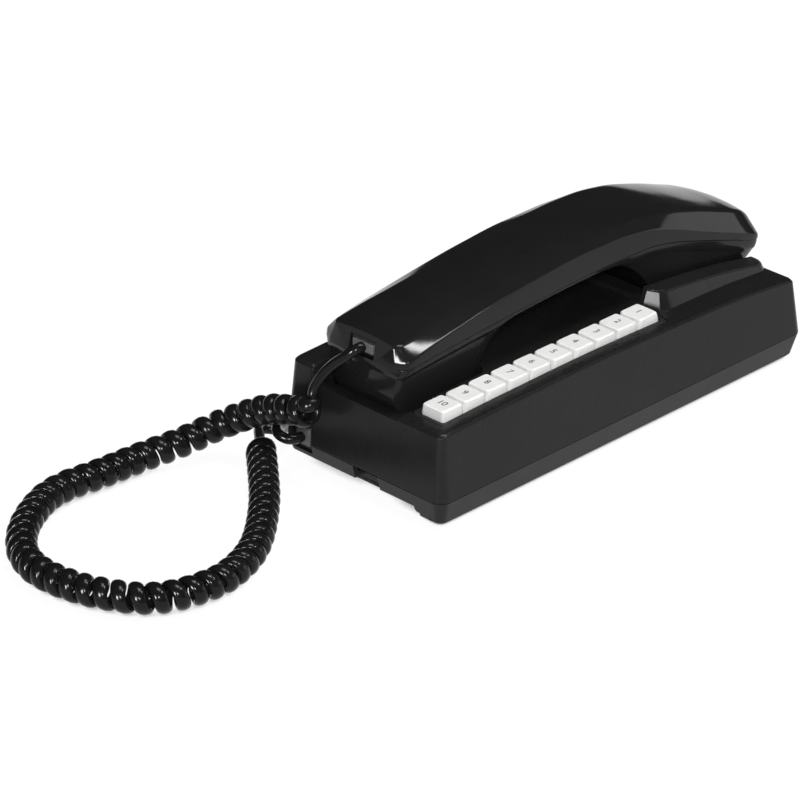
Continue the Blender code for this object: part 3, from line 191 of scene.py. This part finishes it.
def make_materials():
    """The material of every slot, and the ink of the numerals."""
    made = {slot: moulded(*values) for slot, values in PLASTICS.items()}
    made["gasket"] = made["feet"]
    ink = Shader("numeral_ink", (0.02, 0.02, 0.022), 0.5)
    ink.tint(ink.noise(900.0), (0.016, 0.016, 0.018), (0.03, 0.03, 0.032))
    steel = Shader("screw_zinc", (0.6, 0.6, 0.58), 0.32, metallic=1.0)
    steel.tint(steel.noise(240.0), (0.52, 0.52, 0.50), (0.64, 0.64, 0.62))
    steel.bump(steel.noise(1800.0), 0.15, STEEL_GRAIN)
    can = Shader("capsule_aluminium", (0.5, 0.5, 0.52), 0.36, metallic=1.0)
    can.tint(can.noise(160.0), (0.44, 0.44, 0.46), (0.54, 0.54, 0.56))
    board = Shader("board_laminate", (0.03, 0.12, 0.05), 0.4)
    board.tint(board.noise(420.0, 5.0), (0.022, 0.09, 0.04), (0.04, 0.15, 0.065))
    for slot, shader in (("ink", ink), ("screws", steel), ("capsules", can), ("boards", board)):
        made[slot] = shader.material
    return made


MATERIALS = make_materials()
SLOT_OF = {row["node"]: row["material_slot"] for row in frame["record"]["subparts"]}


def placed(name, data):
    """A new object in the scene."""
    made = bpy.data.objects.new(name, data)
    bpy.context.scene.collection.objects.link(made)
    return made


def as_object(name, mesh):
    """A bmesh as an object in the scene."""
    data = bpy.data.meshes.new(name)
    mesh.to_mesh(data)
    mesh.free()
    return placed(name, data)


def skin(mesh, rings):
    """Faces from each ring of vertices to the next, and a cap on each end."""
    for near, far in zip(rings, rings[1:]):
        for i in range(len(near)):
            j = (i + 1) % len(near)
            mesh.faces.new((near[i], near[j], far[j], far[i]))
    mesh.faces.new(rings[0][::-1])
    mesh.faces.new(rings[-1])


def finish_node(name):
    """A CAD node that stays in view: smooth where it is round, crisp where it is folded."""
    node = NODES[name]
    node.data.materials.clear()
    node.data.materials.append(MATERIALS[SLOT_OF[name]])
    node.data.shade_smooth()
    weld = node.modifiers.new("weld", "WELD")
    weld.merge_threshold = WELD_DISTANCE
    split = node.modifiers.new("crisp", "EDGE_SPLIT")
    split.split_angle = math.radians(FOLD_ANGLE)
    flat = node.modifiers.new("flat_faces", "WEIGHTED_NORMAL")
    flat.mode = "FACE_AREA"
    flat.weight = FLAT_WEIGHT


def new_piece(name, mesh, slot, body, replaced=(), smooth=30):
    """A bmesh as a piece that rides on a body and stands for CAD nodes.

    Edges that fold by more than the smooth angle, in degrees, stay sharp.
    """
    bmesh.ops.recalc_face_normals(mesh, faces=mesh.faces)
    piece = as_object(name, mesh)
    piece.data.shade_smooth()
    piece.data.set_sharp_from_angle(angle=math.radians(smooth))
    piece.data.materials.append(MATERIALS[slot])
    if body:
        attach(piece, body)
    if replaced:
        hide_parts(*replaced)
    return piece


# ---------------------------------------------------------------- camera and cord

CAMERA_PLACE = Vector((1.0903, -1.1820, 0.8361))
CAMERA_TOWARDS = Vector((-0.6265, 0.6287, -0.4607))
CAMERA_LENS = 197.4  # focal length in millimetres, over a sensor of this width
CAMERA_SENSOR = 36.0
CAMERA_SIGHT = 20.0  # nothing beyond this distance is drawn


def turned_to(direction):
    """The rotation of a camera or light that looks along a direction."""
    return direction.to_track_quat("-Z", "Y").to_euler()


def make_camera():
    data = bpy.data.cameras.new("camera")
    data.lens = CAMERA_LENS
    data.sensor_width = CAMERA_SENSOR
    data.clip_end = CAMERA_SIGHT
    camera = placed("camera", data)
    camera.location = CAMERA_PLACE
    camera.rotation_euler = turned_to(CAMERA_TOWARDS)
    bpy.context.scene.camera = camera


# The cord's route in millimetres, within a millimetre of the line of its solids
HANDSET_LEAD_ROUTE = [(-5.5, -103.4, 61.6), (-5.6, -105.0, 61.5), (-6.9, -107.3, 60.3),
                      (-9.6, -109.1, 57.6), (-14.1, -110.6, 53.5), (-18.2, -112.4, 48.4),
                      (-20.5, -113.9, 43.9), (-21.2, -115.2, 40.4)]
COIL_ROUTE = [(-20.8, -117.9, 33.0), (-31.5, -118.8, 29.8), (-45.9, -119.0, 24.4),
              (-62.7, -125.6, 14.6), (-70.5, -141.2, 9.2), (-75.8, -158.6, 6.8),
              (-77.3, -179.6, 6.7), (-79.1, -195.8, 6.7), (-76.5, -210.0, 6.7),
              (-66.3, -228.0, 6.7), (-53.3, -240.8, 6.7), (-40.5, -246.8, 6.7),
              (-27.8, -247.8, 6.7), (-14.0, -245.4, 6.7), (-2.8, -240.9, 6.7),
              (7.7, -234.4, 6.7), (14.4, -225.6, 6.7), (18.0, -213.5, 6.7), (18.5, -200.0, 6.7),
              (13.0, -183.3, 6.7), (3.0, -168.1, 6.7), (-14.7, -148.6, 6.7),
              (-33.5, -131.6, 6.7), (-49.3, -118.0, 6.7), (-57.0, -111.4, 6.7)]
BODY_LEAD_ROUTE = [(-57.5, -110.98, 6.7), (-59.7, -108.9, 6.3), (-61.1, -105.6, 5.4),
                   (-58.9, -102.4, 4.8), (-54.9, -101.6, 5.2), (-51.1, -102.8, 8.4),
                   (-47.9, -107.4, 12.8), (-44.9, -113.0, 15.0), (-40.7, -116.2, 14.8),
                   (-36.5, -115.4, 13.6), (-34.2, -112.4, 13.4), (-34.1, -109.5, 13.4)]
COIL_TURNS = 56
COIL_RADIUS = 6.4 * MM
COIL_OPENING = 7 * MM  # at its ends the coil opens to its full width over this length
STRAND_HALF_WIDTH = 3.0 * MM  # the coiled strand is a flat oval
STRAND_HALF_THICKNESS = 1.75 * MM
STRAND_SIDES = 12
LEAD_RADIUS = 2.2 * MM
LEAD_STEP = 0.8 * MM
STEPS_PER_TURN = 22
ROUTE_STEP = 1 * MM
SPINE_STEP = 0.3 * MM
CURVE_STEPS = 16  # between two points of a route
LAST_STEP = 0.6 * MM  # the strand's last step is at least this long


def lengths_along(points):
    """The length from the start of a line to each of its points."""
    return np.concatenate(([0.0], np.cumsum(np.linalg.norm(np.diff(points, axis=0), axis=1))))


def line_length(points):
    return float(np.linalg.norm(np.diff(points, axis=0), axis=1).sum())


def directions(points):
    """The unit vector along a line at each of its points."""
    along = np.gradient(points, axis=0)
    return along / np.linalg.norm(along, axis=1)[:, None]


def squared_to(vector, direction):
    """The part of a vector that is square to a direction, with a length of one."""
    square = vector - direction * vector.dot(direction)
    return square / np.linalg.norm(square)


def smooth_line(route, spacing):
    """Points at an even spacing on a smooth curve through a route."""
    ends = [Vector(route[0]) * 2 - Vector(route[1]), Vector(route[-1]) * 2 - Vector(route[-2])]
    knots = [ends[0]] + [Vector(p) for p in route] + [ends[1]]
    fine = []
    for i in range(1, len(knots) - 2):
        a, b, c, d = knots[i - 1:i + 3]
        for k in range(CURVE_STEPS):
            t = k / CURVE_STEPS
            fine.append(0.5 * (2 * b + (c - a) * t + (2 * a - 5 * b + 4 * c - d) * t ** 2
                               + (3 * b - a - 3 * c + d) * t ** 3))
    fine.append(knots[-2])
    fine = np.array([list(p) for p in fine]) * MM
    steps = lengths_along(fine)
    wanted = np.linspace(0.0, steps[-1], max(int(steps[-1] / spacing), 2) + 1)
    return np.array([np.interp(wanted, steps, fine[:, axis]) for axis in range(3)]).T


def ease(t):
    """A share from 0 to 1 that starts and ends gently."""
    t = min(max(t, 0.0), 1.0)
    return t * t * (3 - 2 * t)


def make_cord():
    """The handset cord as one strand: straight leads at its ends and coils between."""
    spine = smooth_line(HANDSET_LEAD_ROUTE + COIL_ROUTE + BODY_LEAD_ROUTE[1:], SPINE_STEP)
    lengths = lengths_along(spine)
    start = line_length(smooth_line(HANDSET_LEAD_ROUTE, ROUTE_STEP)) + 1 * MM
    end = start + line_length(smooth_line(COIL_ROUTE, ROUTE_STEP))
    pitch = (end - start) / COIL_TURNS
    tangents = directions(spine)
    side = np.cross(tangents[0], (0.0, 0.0, 1.0))
    sides = []
    for tangent in tangents:
        side = squared_to(side, tangent)
        sides.append(side)
    sides = np.array(sides)
    uppers = np.cross(tangents, sides)

    def at(table, s):
        return np.array([np.interp(s, lengths, table[:, axis]) for axis in range(3)])

    path, out, opened = [], [], []
    turn = 0.0
    s = 0.0
    while s < lengths[-1] - LAST_STEP:
        share = ease((s - start) / COIL_OPENING) * ease((end - s) / COIL_OPENING)
        angle = 2 * math.pi * turn
        radial = math.cos(angle) * at(sides, s) + math.sin(angle) * at(uppers, s)
        path.append(at(spine, s) + radial * share * (COIL_RADIUS - STRAND_HALF_THICKNESS))
        out.append(radial)
        opened.append(share)
        step = pitch / STEPS_PER_TURN if start - 1 * MM < s < end else LEAD_STEP
        turn += step / pitch if start < s < end else 0.0
        s += step
    path.append(spine[-1])
    out.append(out[-1])
    opened.append(0.0)
    path = np.array(path)
    piece = strand_piece("handset_cord", path, out, opened)
    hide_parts("cord_handset_lead", "cord_coil", "cord_body_lead")
    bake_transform(piece)


def strand_piece(name, path, out, opened):
    """A tube along a path, round in its leads and flat in its coils."""
    mesh = bmesh.new()
    rings = []
    for point, tangent, radial, share in zip(path, directions(path), out, opened):
        radial = squared_to(radial, tangent)
        across = np.cross(tangent, radial)
        thick = LEAD_RADIUS + (STRAND_HALF_THICKNESS - LEAD_RADIUS) * share
        wide = LEAD_RADIUS + (STRAND_HALF_WIDTH - LEAD_RADIUS) * share
        ring = []
        for k in range(STRAND_SIDES):
            angle = 2 * math.pi * k / STRAND_SIDES
            ring.append(mesh.verts.new(point + radial * thick * math.cos(angle)
                                       + across * wide * math.sin(angle)))
        rings.append(ring)
    skin(mesh, rings)
    return new_piece(name, mesh, "cord", None, smooth=50)


# ---------------------------------------------------------------- handset

NEAR_END = -110.0 * MM  # of the body; the handset's places are measured from it
HANDSET_X = -5.5 * MM
HALF_WIDTH = 22.6 * MM
SHELL = 2.2 * MM  # thickness of the shells
SEAM_GAP = 0.15 * MM  # of each shell, from the line between them
STANDOFF = 0.35 * MM  # between the front shell and the cradle
FRONT_STEP = 0.3 * MM  # the front shell is this much narrower at the seam
FLAT_INSET = 6.6 * MM  # of the back's flat, from the handset's side
BEND_AT, BEND_FALL = 0.55, 0.26  # bend of that flat: share of its width, share of its fall
# Fillets of the cross-sections' corners, from the seam inwards
BACK_ROUNDS = (0.7 * MM, 1.5 * MM, 4.0 * MM)
FRONT_ROUNDS = (0.8 * MM, 0.8 * MM, 1.0 * MM, 1.1 * MM, 1.0 * MM)
LEAN = 0.25  # the near end leans back by this share of the height above the seam
LEAN_REACH = 24.0  # millimetres along the handset over which the lean fades out
STATION_STEP = 1.4  # millimetres between the handset's cross-sections
HOLLOW_OVERLAP = 1.5 * MM  # a shell's hollow is cut this far past the seam
HOLE_RADIUS = 1.1 * MM
SOCKET_GAP = 0.3 * MM  # round the socket in the handset's near end

# Where the shells and their hollows are drawn, in millimetres from the body's near end:
# start, end, distances from the start, and distances from the end
BACK_PLACES = (5.6, 220.0, (0, 0.5, 1.0, 1.5, 2.0, 2.6, 3.2, 3.8, 4.6, 5.6),
               (0, 0.4, 0.9, 1.5, 2.2, 3.0))
BACK_HOLLOW_PLACES = (8.6, 216.6, (0, 1.5, 3.0), (0, 1.5))
FRONT_PLACES = (7.2, 218.4, (0, 0.6, 1.2, 1.8, 2.4, 3.2, 4.0, 5.0), (0, 0.5, 1.1, 1.8, 2.6))
FRONT_HOLLOW_PLACES = (11.4, 13, 15.2, 18, 22, 32, 42, 45, 48, 51, 54, 57, 60, 65, 72, 85, 109,
                       124, 132, 139, 145, 150, 155, 160, 165, 171, 188, 204, 208, 211, 213.6)
# Sound holes: place along the handset, radius of their ring, height
SOUND_HOLES = ((187 * MM, 7 * MM, 33.5 * MM), (31 * MM, 4 * MM, 26 * MM))


def curve_through(points):
    """A smooth curve through (position, height) points in millimetres, as a function.

    It never swings past a point, so that a flat stretch of the table stays flat.
    """
    at = np.array([p[0] for p in points]) * MM
    height = np.array([p[1] for p in points]) * MM
    secant = np.diff(height) / np.diff(at)
    slope = np.concatenate(([secant[0]], np.zeros(len(at) - 2), [secant[-1]]))
    for i in range(1, len(at) - 1):
        before, after = secant[i - 1], secant[i]
        if before * after > 0:
            slope[i] = 2 * before * after / (before + after)

    def value(position):
        s = min(max(position, at[0]), at[-1])
        i = min(int(np.searchsorted(at, s, side="right")) - 1, len(at) - 2)
        width = at[i + 1] - at[i]
        t = (s - at[i]) / width
        rise = height[i + 1] - height[i]
        a = slope[i] * width - rise
        b = rise - slope[i + 1] * width
        return float(height[i] + t * rise + t * (1 - t) * ((1 - t) * a + t * b))

    return value


# Lengthwise lines in millimetres: (place from the body's near end, height), or
# (place, wider than the grip by)
CROWN = curve_through([(5.6, 67.8), (12, 68.8), (20, 69.8), (40, 72.2), (62, 74.4), (85, 76.4),
                       (109, 77.8), (130, 78.3), (148, 77.4), (164, 75.0), (182, 70.4),
                       (200, 64.6), (212, 60.3), (217, 57.4), (219, 55.4), (220, 53.2)])
EDGE = curve_through([(5.6, 66.8), (12, 67.5), (20, 68.5), (40, 70.8), (62, 72.8), (85, 74.8),
                      (109, 76.2), (130, 76.9), (148, 76.3), (164, 74.2), (182, 69.4),
                      (200, 63.2), (212, 58.6), (217, 55.7), (219, 53.8), (220, 51.8)])
CREASE = curve_through([(5.6, 60.2), (12, 62.0), (20, 64.0), (40, 67.4), (62, 70.6), (85, 73.0),
                        (109, 74.5), (130, 74.4), (148, 72.4), (164, 67.6), (182, 60.6),
                        (200, 53.8), (212, 49.4), (217, 47.7), (219, 47.1), (220, 46.8)])
PARTING = curve_through([(5.6, 57.8), (12, 58.5), (20, 59.2), (40, 60.4), (62, 61.6), (85, 62.8),
                         (109, 63.8), (130, 64.4), (148, 64.2), (164, 61.8), (182, 56.6),
                         (200, 50.8), (212, 46.9), (217, 45.6), (220, 44.9)])
WIDTH = curve_through([(5.6, -5.4), (7.6, -1.9), (9.4, 0.4), (14, 0.8), (30, 0.6), (62, 0.0),
                       (109, 0.0), (148, 0.8), (182, 1.4), (205, 1.2), (213, 0.9), (217, 0.4),
                       (219, -0.4), (220, -2.2)])
FLAT = curve_through([(5.6, -0.1), (7.6, 1.4), (9.4, 1.8), (22, 1.4), (40, 0.5), (62, 0),
                      (100, 0), (150, 2.4), (205, 2.4),
                      (213, 1.4), (217, 0.2), (219, -0.8), (220, -2.4)])
UNDERSIDE = curve_through([(7.2, 41.2), (8.7, 38.6), (9.6, 33.0), (11.2, 28.6), (14, 26.6),
                           (19, 26.0), (43, 26.0), (46, 27.2), (50, 32.8), (54, 42.0),
                           (58, 50.0), (64, 55.2), (72, 57.8), (85, 59.0), (109, 60.0),
                           (124, 60.2), (135, 58.8), (143, 54.8), (149, 49.6), (154, 43.0),
                           (159, 37.4), (164, 34.4),
                           (170, 33.5), (204, 33.5), (208, 35.1), (211, 35.7), (213.5, 36.1),
                           (216, 37.0), (218.4, 39.8)])
UNDER_WIDTH = curve_through([(7.2, -6.4), (9.6, -5.8), (12, -4.6), (17, -4.4), (44, -4.4),
                             (52, -4.2), (65, -3.2), (109, -3.0), (135, -3.2), (154, -3.0),
                             (170, -2.4), (205, -2.4), (213, -2.4), (218.4, -3.4)])
LEDGE = curve_through([(7.2, 1.6), (14, 2.8), (46, 2.8), (58, 1.8), (72, 1.0), (130, 1.0),
                       (150, 0.8), (218.4, 0.6)])


def filleted(corners, cuts, steps=4):
    """A chain of points with its inner corners rounded, each as far as its cut says."""
    points = [np.array(corners[0])]
    for i in range(1, len(corners) - 1):
        before, corner, after = (np.array(corners[k]) for k in (i - 1, i, i + 1))
        starts = []
        for away in (before - corner, after - corner):
            length = float(np.linalg.norm(away))
            starts.append(corner + away / max(length, 1e-9) * min(cuts[i - 1], 0.48 * length))
        for k in range(steps + 1):
            t = k / steps
            points.append(starts[0] * (1 - t) ** 2 + corner * 2 * t * (1 - t) + starts[1] * t ** 2)
    points.append(np.array(corners[-1]))
    return [(float(x), float(z)) for x, z in points]


def back_side(distance):
    """One side of the back shell's cross-section: side band, crease, flat and crown."""
    s = distance * MM
    half = HALF_WIDTH + WIDTH(s)
    flat = min(HALF_WIDTH - FLAT_INSET + FLAT(s), half - 0.2 * MM)
    seam, crease, edge, crown = PARTING(s) + SEAM_GAP, CREASE(s), EDGE(s), CROWN(s)
    corners = [(half, seam), (half, crease), (flat, edge),
               (BEND_AT * flat, crown - BEND_FALL * (crown - edge)), (0.0, crown)]
    return filleted(corners, BACK_ROUNDS)


def front_side(distance):
    """One side of the front shell's cross-section: skirt, wall and underside."""
    s = distance * MM
    half = HALF_WIDTH + WIDTH(s) - FRONT_STEP
    under = min(HALF_WIDTH + UNDER_WIDTH(s), half - 1.2 * MM)
    seam, bottom = PARTING(s) - SEAM_GAP, UNDERSIDE(s) + STANDOFF
    drop = seam - bottom
    skirt = min(3.6 * MM, 0.5 * drop)
    wall = max(half - 0.25 * MM - LEDGE(s), under + 0.3 * MM)
    corners = [(half, seam), (half - 0.2 * MM, seam - 0.7 * skirt),
               (0.35 * half + 0.65 * wall, seam - 1.15 * skirt),
               (wall, seam - skirt - min(1.2 * MM, 0.1 * drop)), (under, bottom),
               (0.5 * under, bottom), (0.0, bottom)]
    return filleted(corners, FRONT_ROUNDS)


def lean(distance, height):
    """How far the near end leans back at a height, fading out along the handset."""
    start = BACK_PLACES[0]
    fade = max(1.0 - (distance - start) / LEAN_REACH, 0.0)
    return LEAN * fade * fade * max(height - PARTING(start * MM), 0.0)


def stations(start, end, near, far):
    """Places along the handset, close together at its ends."""
    middle = np.arange(start + near[-1] + STATION_STEP, end - far[-1] - STATION_STEP / 2,
                       STATION_STEP)
    return [start + k for k in near] + list(middle) + [end - k for k in reversed(far)]


def lofted(side, places):
    """A closed solid through cross-sections at several places."""
    mesh = bmesh.new()
    rings = []
    for distance in places:
        half = side(distance)
        whole = [(-x, z) for x, z in half] + [(x, z) for x, z in half[-2::-1]]
        y = NEAR_END + distance * MM
        rings.append([mesh.verts.new((HANDSET_X + x, y + lean(distance, z), z)) for x, z in whole])
    skin(mesh, rings)
    bmesh.ops.recalc_face_normals(mesh, faces=mesh.faces)
    return mesh


def carved(name, mesh, tools):
    """A mesh with tools cut out of it, as a new bmesh."""
    body = as_object(name, mesh)
    cutters = [as_object(f"{name}_cut", tool) for tool in tools]
    for cutter in cutters:
        step = body.modifiers.new("cut", "BOOLEAN")
        step.operation = "DIFFERENCE"
        step.solver = "EXACT"
        step.object = cutter
    bpy.context.view_layer.update()
    seen = body.evaluated_get(bpy.context.evaluated_depsgraph_get())
    result = bmesh.new()
    result.from_mesh(seen.to_mesh())
    seen.to_mesh_clear()
    for old in [body] + cutters:
        bpy.data.objects.remove(old, do_unlink=True)
    return result


def hollow_side(side, upwards):
    """A shell's cross-section drawn in by its thickness and open past the seam.

    Upwards is 1 for the shell below the seam and -1 for the shell above it.
    """
    def section(distance):
        points = side(distance)
        share = (points[0][0] - SHELL) / points[0][0]
        seam = points[0][1] + upwards * HOLLOW_OVERLAP
        inner = [(x * share, z + upwards * SHELL) for x, z in points[1:]]
        nearest = seam - upwards * 0.3 * MM
        clip = min if upwards > 0 else max
        return [(points[0][0] * share, seam)] + [(x, clip(z, nearest)) for x, z in inner]

    return section


def sound_holes(at, ring_radius, height):
    """Seven pins that cut a ring of holes and one in its middle."""
    mesh = bmesh.new()
    for k in range(7):
        reach = ring_radius if k < 6 else 0.0
        angle = 2 * math.pi * k / 6
        place = Vector((HANDSET_X + reach * math.cos(angle),
                        NEAR_END + at + reach * math.sin(angle), height))
        bmesh.ops.create_cone(mesh, cap_ends=True, segments=20, radius1=HOLE_RADIUS,
                              radius2=HOLE_RADIUS, depth=9 * MM, matrix=Matrix.Translation(place))
    return mesh


def socket_opening():
    """The opening for the socket in the handset's near end."""
    mesh = bmesh.new()
    low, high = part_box("handset_jack")
    size = Vector((high.x - low.x + 2 * SOCKET_GAP, 18 * MM, high.z - low.z + 2 * SOCKET_GAP))
    middle = Vector(((low.x + high.x) / 2, NEAR_END + size.y / 2, (low.z + high.z) / 2))
    bmesh.ops.create_cube(mesh, size=1.0,
                          matrix=Matrix.Translation(middle) @ Matrix.Diagonal((*size, 1.0)))
    return mesh


def make_handset():
    """The two shells of the handset, with their creases and soft corners."""
    back = lofted(back_side, stations(*BACK_PLACES))
    hollow = lofted(hollow_side(back_side, -1), stations(*BACK_HOLLOW_PLACES))
    new_piece("handset_back", carved("back", back, [hollow, socket_opening()]), "handset",
              "handset", ("handset_back_shell",), 40)
    front = lofted(front_side, stations(*FRONT_PLACES))
    tools = [lofted(hollow_side(front_side, 1), FRONT_HOLLOW_PLACES)]
    tools += [sound_holes(*row) for row in SOUND_HOLES]
    new_piece("handset_front", carved("front", front, tools), "handset", "handset",
              ("handset_front_shell",), 40)


# ---------------------------------------------------------------- cradle

# The raised cheek beside the earpiece: its right side, near and far ends and corner radius
CHEEK_RIGHT, CHEEK_NEAR, CHEEK_FAR, CHEEK_CORNER = 26.5 * MM, 35.0 * MM, 104.3 * MM, 6.5 * MM
CHEEK_RISE, CHEEK_END_RISE = 7.6 * MM, 2.6 * MM  # above the deck, at its near and far ends
DECK_HEIGHT = 41.7 * MM
DECK_END = 107.7 * MM
# The deck's line along the body: (place from the near end, height from its highest line)
DECK_FALL = curve_through([(0, -1.6), (45, -0.5), (90, 0), (135, -0.8), (170, -1.9),
                           (190, -3.2), (217, -6.2)])
FLANK_SLOPE = 0.5  # how far the cheek's flank runs out for each millimetre that it falls
FLANK_TOP, FLANK_FOOT = 0.75 * MM, 0.4 * MM  # below the cheek's top and below the deck
FLANK_BACK = 1.0 * MM  # how far it reaches into the cheek
FLANK_STEP = 7.0 * MM  # between its cross-sections along the straight side
FACET_TURNS = (-83, -39)  # the ends of the flat facet on the near corner, in degrees
FLANK_STANDOUT, FACET_STANDOUT = 0.05 * MM, 0.5 * MM


def deck(y):
    return DECK_HEIGHT + DECK_FALL(y - NEAR_END)


def cheek_top(y):
    share = min(max((y - CHEEK_NEAR) / (DECK_END - CHEEK_NEAR), 0.0), 1.0)
    return deck(y) + CHEEK_RISE + (CHEEK_END_RISE - CHEEK_RISE) * share


def flank_path():
    """Rows of (x, y, direction faced in degrees, how far the flank's top stands out)."""
    path = [(CHEEK_RIGHT - CHEEK_CORNER - 1.6 * MM, CHEEK_NEAR, -90.0, FLANK_STANDOUT)]

    def corner(middle, turns, stands_out):
        for turn in turns:
            path.append((CHEEK_RIGHT - CHEEK_CORNER * (1.0 - math.cos(math.radians(turn))),
                         middle + CHEEK_CORNER * math.sin(math.radians(turn)), turn, stands_out))

    corner(CHEEK_NEAR + CHEEK_CORNER, FACET_TURNS, FACET_STANDOUT)
    corner(CHEEK_NEAR + CHEEK_CORNER, range(-30, 10, 10), FLANK_STANDOUT)
    for k in range(1, 8):
        path.append((CHEEK_RIGHT, CHEEK_NEAR + CHEEK_CORNER + FLANK_STEP * k, 0.0, FLANK_STANDOUT))
    corner(CHEEK_FAR - CHEEK_CORNER, range(0, 100, 10), FLANK_STANDOUT)
    return path


def make_cheek_flank():
    """The sloping face round the near corner and the right side of the raised cheek."""
    mesh = bmesh.new()
    rings = []
    for x, y, turn, stands_out in flank_path():
        out = Vector((math.cos(math.radians(turn)), math.sin(math.radians(turn)), 0.0))
        top, foot = cheek_top(y) - FLANK_TOP, deck(y) - FLANK_FOOT
        section = ((stands_out, top), (FLANK_SLOPE * (top - foot), foot), (-FLANK_BACK, foot),
                   (-FLANK_BACK, top - 0.3 * MM))
        rings.append([mesh.verts.new(Vector((x, y, z)) + out * away) for away, z in section])
    skin(mesh, rings)
    new_piece("cheek_flank", mesh, "cover", "body", smooth=20)


# ---------------------------------------------------------------- buttons

NUMERAL_SIZE = 4.6 * MM
NUMERAL_RISE = 0.02 * MM  # of the ink above the button


def make_numerals():
    """The numbers 1 to 10 on the buttons, upright when the telephone hangs on a wall."""
    for number in range(1, 11):
        low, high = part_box(f"push_button_{number}")
        text = bpy.data.curves.new(f"numeral_{number}", "FONT")
        text.body = str(number)
        text.size = NUMERAL_SIZE
        text.align_x = "CENTER"
        text.align_y = "CENTER"
        text.extrude = NUMERAL_RISE
        text.resolution_u = 3
        text.materials.append(MATERIALS["ink"])
        piece = placed(f"numeral_{number}", text)
        piece.location = ((low.x + high.x) / 2, (low.y + high.y) / 2, high.z + NUMERAL_RISE)
        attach(piece, f"key_{number}")


# ---------------------------------------------------------------- studio

FLOOR_REACH = 6.0
FLOOR_DROP = 0.4 * MM  # of the floor below the feet
FLOOR_COLOUR = (0.12, 0.12, 0.12)
FLOOR_OPEN = (0.06, 0.22)  # share of open air over the floor, from darkest to brightest of its painted shade
FLOOR_GLOW = (0.02, 0.93)  # the floor's glow there, painted shade at the low end
SHADE_REACH = 14 * MM  # how near a thing has to be to paint shade on the floor
BODY_SHADOW_REACH = (34.4 * MM, 100.0 * MM)  # half the patch of floor under the body that is painted dark as its shadow
# Brightness of the studio by height: the sine of the angle above the floor, and the light
STUDIO_LIGHT = [(0.0, 0.30), (0.12, 0.32), (0.28, 0.32), (0.36, 0.24), (0.46, 0.10),
                (0.60, 0.08), (0.74, 0.4), (1.0, 1.0)]
STUDIO_SCALE = 2.0  # what the world multiplies the ramp's colours by
# Name, place, point aimed at, width and height, and power in watts
LIGHTS = [("key_light", (0.2, 0.2, 1.8), (0.0, 0.0, 0.03), (0.7, 0.7), 21.0),
          ("camera_light", (1.43, -1.43, 1.13), (0.0, 0.0, 0.03), (0.35, 0.35), 36.0),
          ("window_light", (1.19, 1.53, 0.50), (0.0, 0.0, 0.05), (1.5, 0.75), 7.0)]
# The same for cards that show only as reflections
CARDS = [("corner_card", (0.50, -2.02, 0.68), (0.0, -0.1, 0.05), (0.42, 0.65), 80.0),
         ("edge_card", (0.99, 0.78, 1.80), (0.0, -0.1, 0.05), (0.6, 0.14), 18.0)]


def make_stage():
    mesh = bmesh.new()
    bmesh.ops.create_grid(mesh, x_segments=2, y_segments=2, size=FLOOR_REACH)
    floor = as_object("floor", mesh)
    floor.location = (0.0, 0.0, -FLOOR_DROP)
    floor.data.materials.append(bright_floor())
    bpy.context.scene.world = studio_world()
    bpy.context.scene.view_settings.view_transform = "Standard"


def bright_floor():
    """A white table that glows evenly, with a painted shadow under the body and painted shade in
    the narrow gaps by it.
    """
    white = Shader("floor_white", FLOOR_COLOUR, 0.95, specular=0.0)
    white.set("Emission Color", (1.0, 1.0, 1.0, 1.0))
    # painted shade: the floor's glow dims where things stand close over it
    shade = white.node("ShaderNodeAmbientOcclusion", Distance=SHADE_REACH)
    shade.samples = 16
    glow = white.spread(shade.outputs["AO"], *FLOOR_GLOW, *FLOOR_OPEN)
    # painted shadow: the floor under the body does not glow
    split = white.node("ShaderNodeSeparateXYZ")
    white.link(white.where, split.inputs["Vector"])
    outside = [white.calculate("GREATER_THAN", white.calculate("ABSOLUTE", split.outputs[axis]),
                               reach) for axis, reach in zip("XY", BODY_SHADOW_REACH)]
    lit = white.calculate("MULTIPLY", glow, white.calculate("MAXIMUM", *outside))
    white.link(lit, white.principled.inputs["Emission Strength"])
    return white.material


def studio_world():
    """A dark room above a bright table, with a wide soft light overhead."""
    world = bpy.data.worlds.new("studio")
    world.use_nodes = True
    graph = Nodes(world.node_tree)
    split = graph.node("ShaderNodeSeparateXYZ")
    graph.link(graph.node("ShaderNodeTexCoord").outputs["Generated"], split.inputs["Vector"])
    ramp = graph.node("ShaderNodeValToRGB")
    points = ramp.color_ramp.elements
    while len(points) < len(STUDIO_LIGHT):
        points.new(0.5)
    for point, (height, light) in zip(points, STUDIO_LIGHT):
        point.position = height
        point.color = (light / STUDIO_SCALE, light / STUDIO_SCALE, light / STUDIO_SCALE, 1)
    graph.link(split.outputs["Z"], ramp.inputs["Fac"])
    strength = graph.calculate("MULTIPLY", ramp.outputs["Color"], STUDIO_SCALE)
    graph.link(strength, world.node_tree.nodes["Background"].inputs["Strength"])
    return world


def area_light(name, place, target, size, power):
    data = bpy.data.lights.new(name, "AREA")
    data.shape = "RECTANGLE"
    data.size, data.size_y = size
    data.energy = power
    light = placed(name, data)
    light.location = place
    light.rotation_euler = turned_to(Vector(target) - Vector(place))
    return light


# ---------------------------------------------------------------- all together

make_camera()
make_cord()
make_handset()
make_cheek_flank()
for node_name in NODES:
    finish_node(node_name)
make_numerals()
make_stage()
for row in LIGHTS:
    area_light(*row)
for row in CARDS:
    area_light(*row).visible_diffuse = False
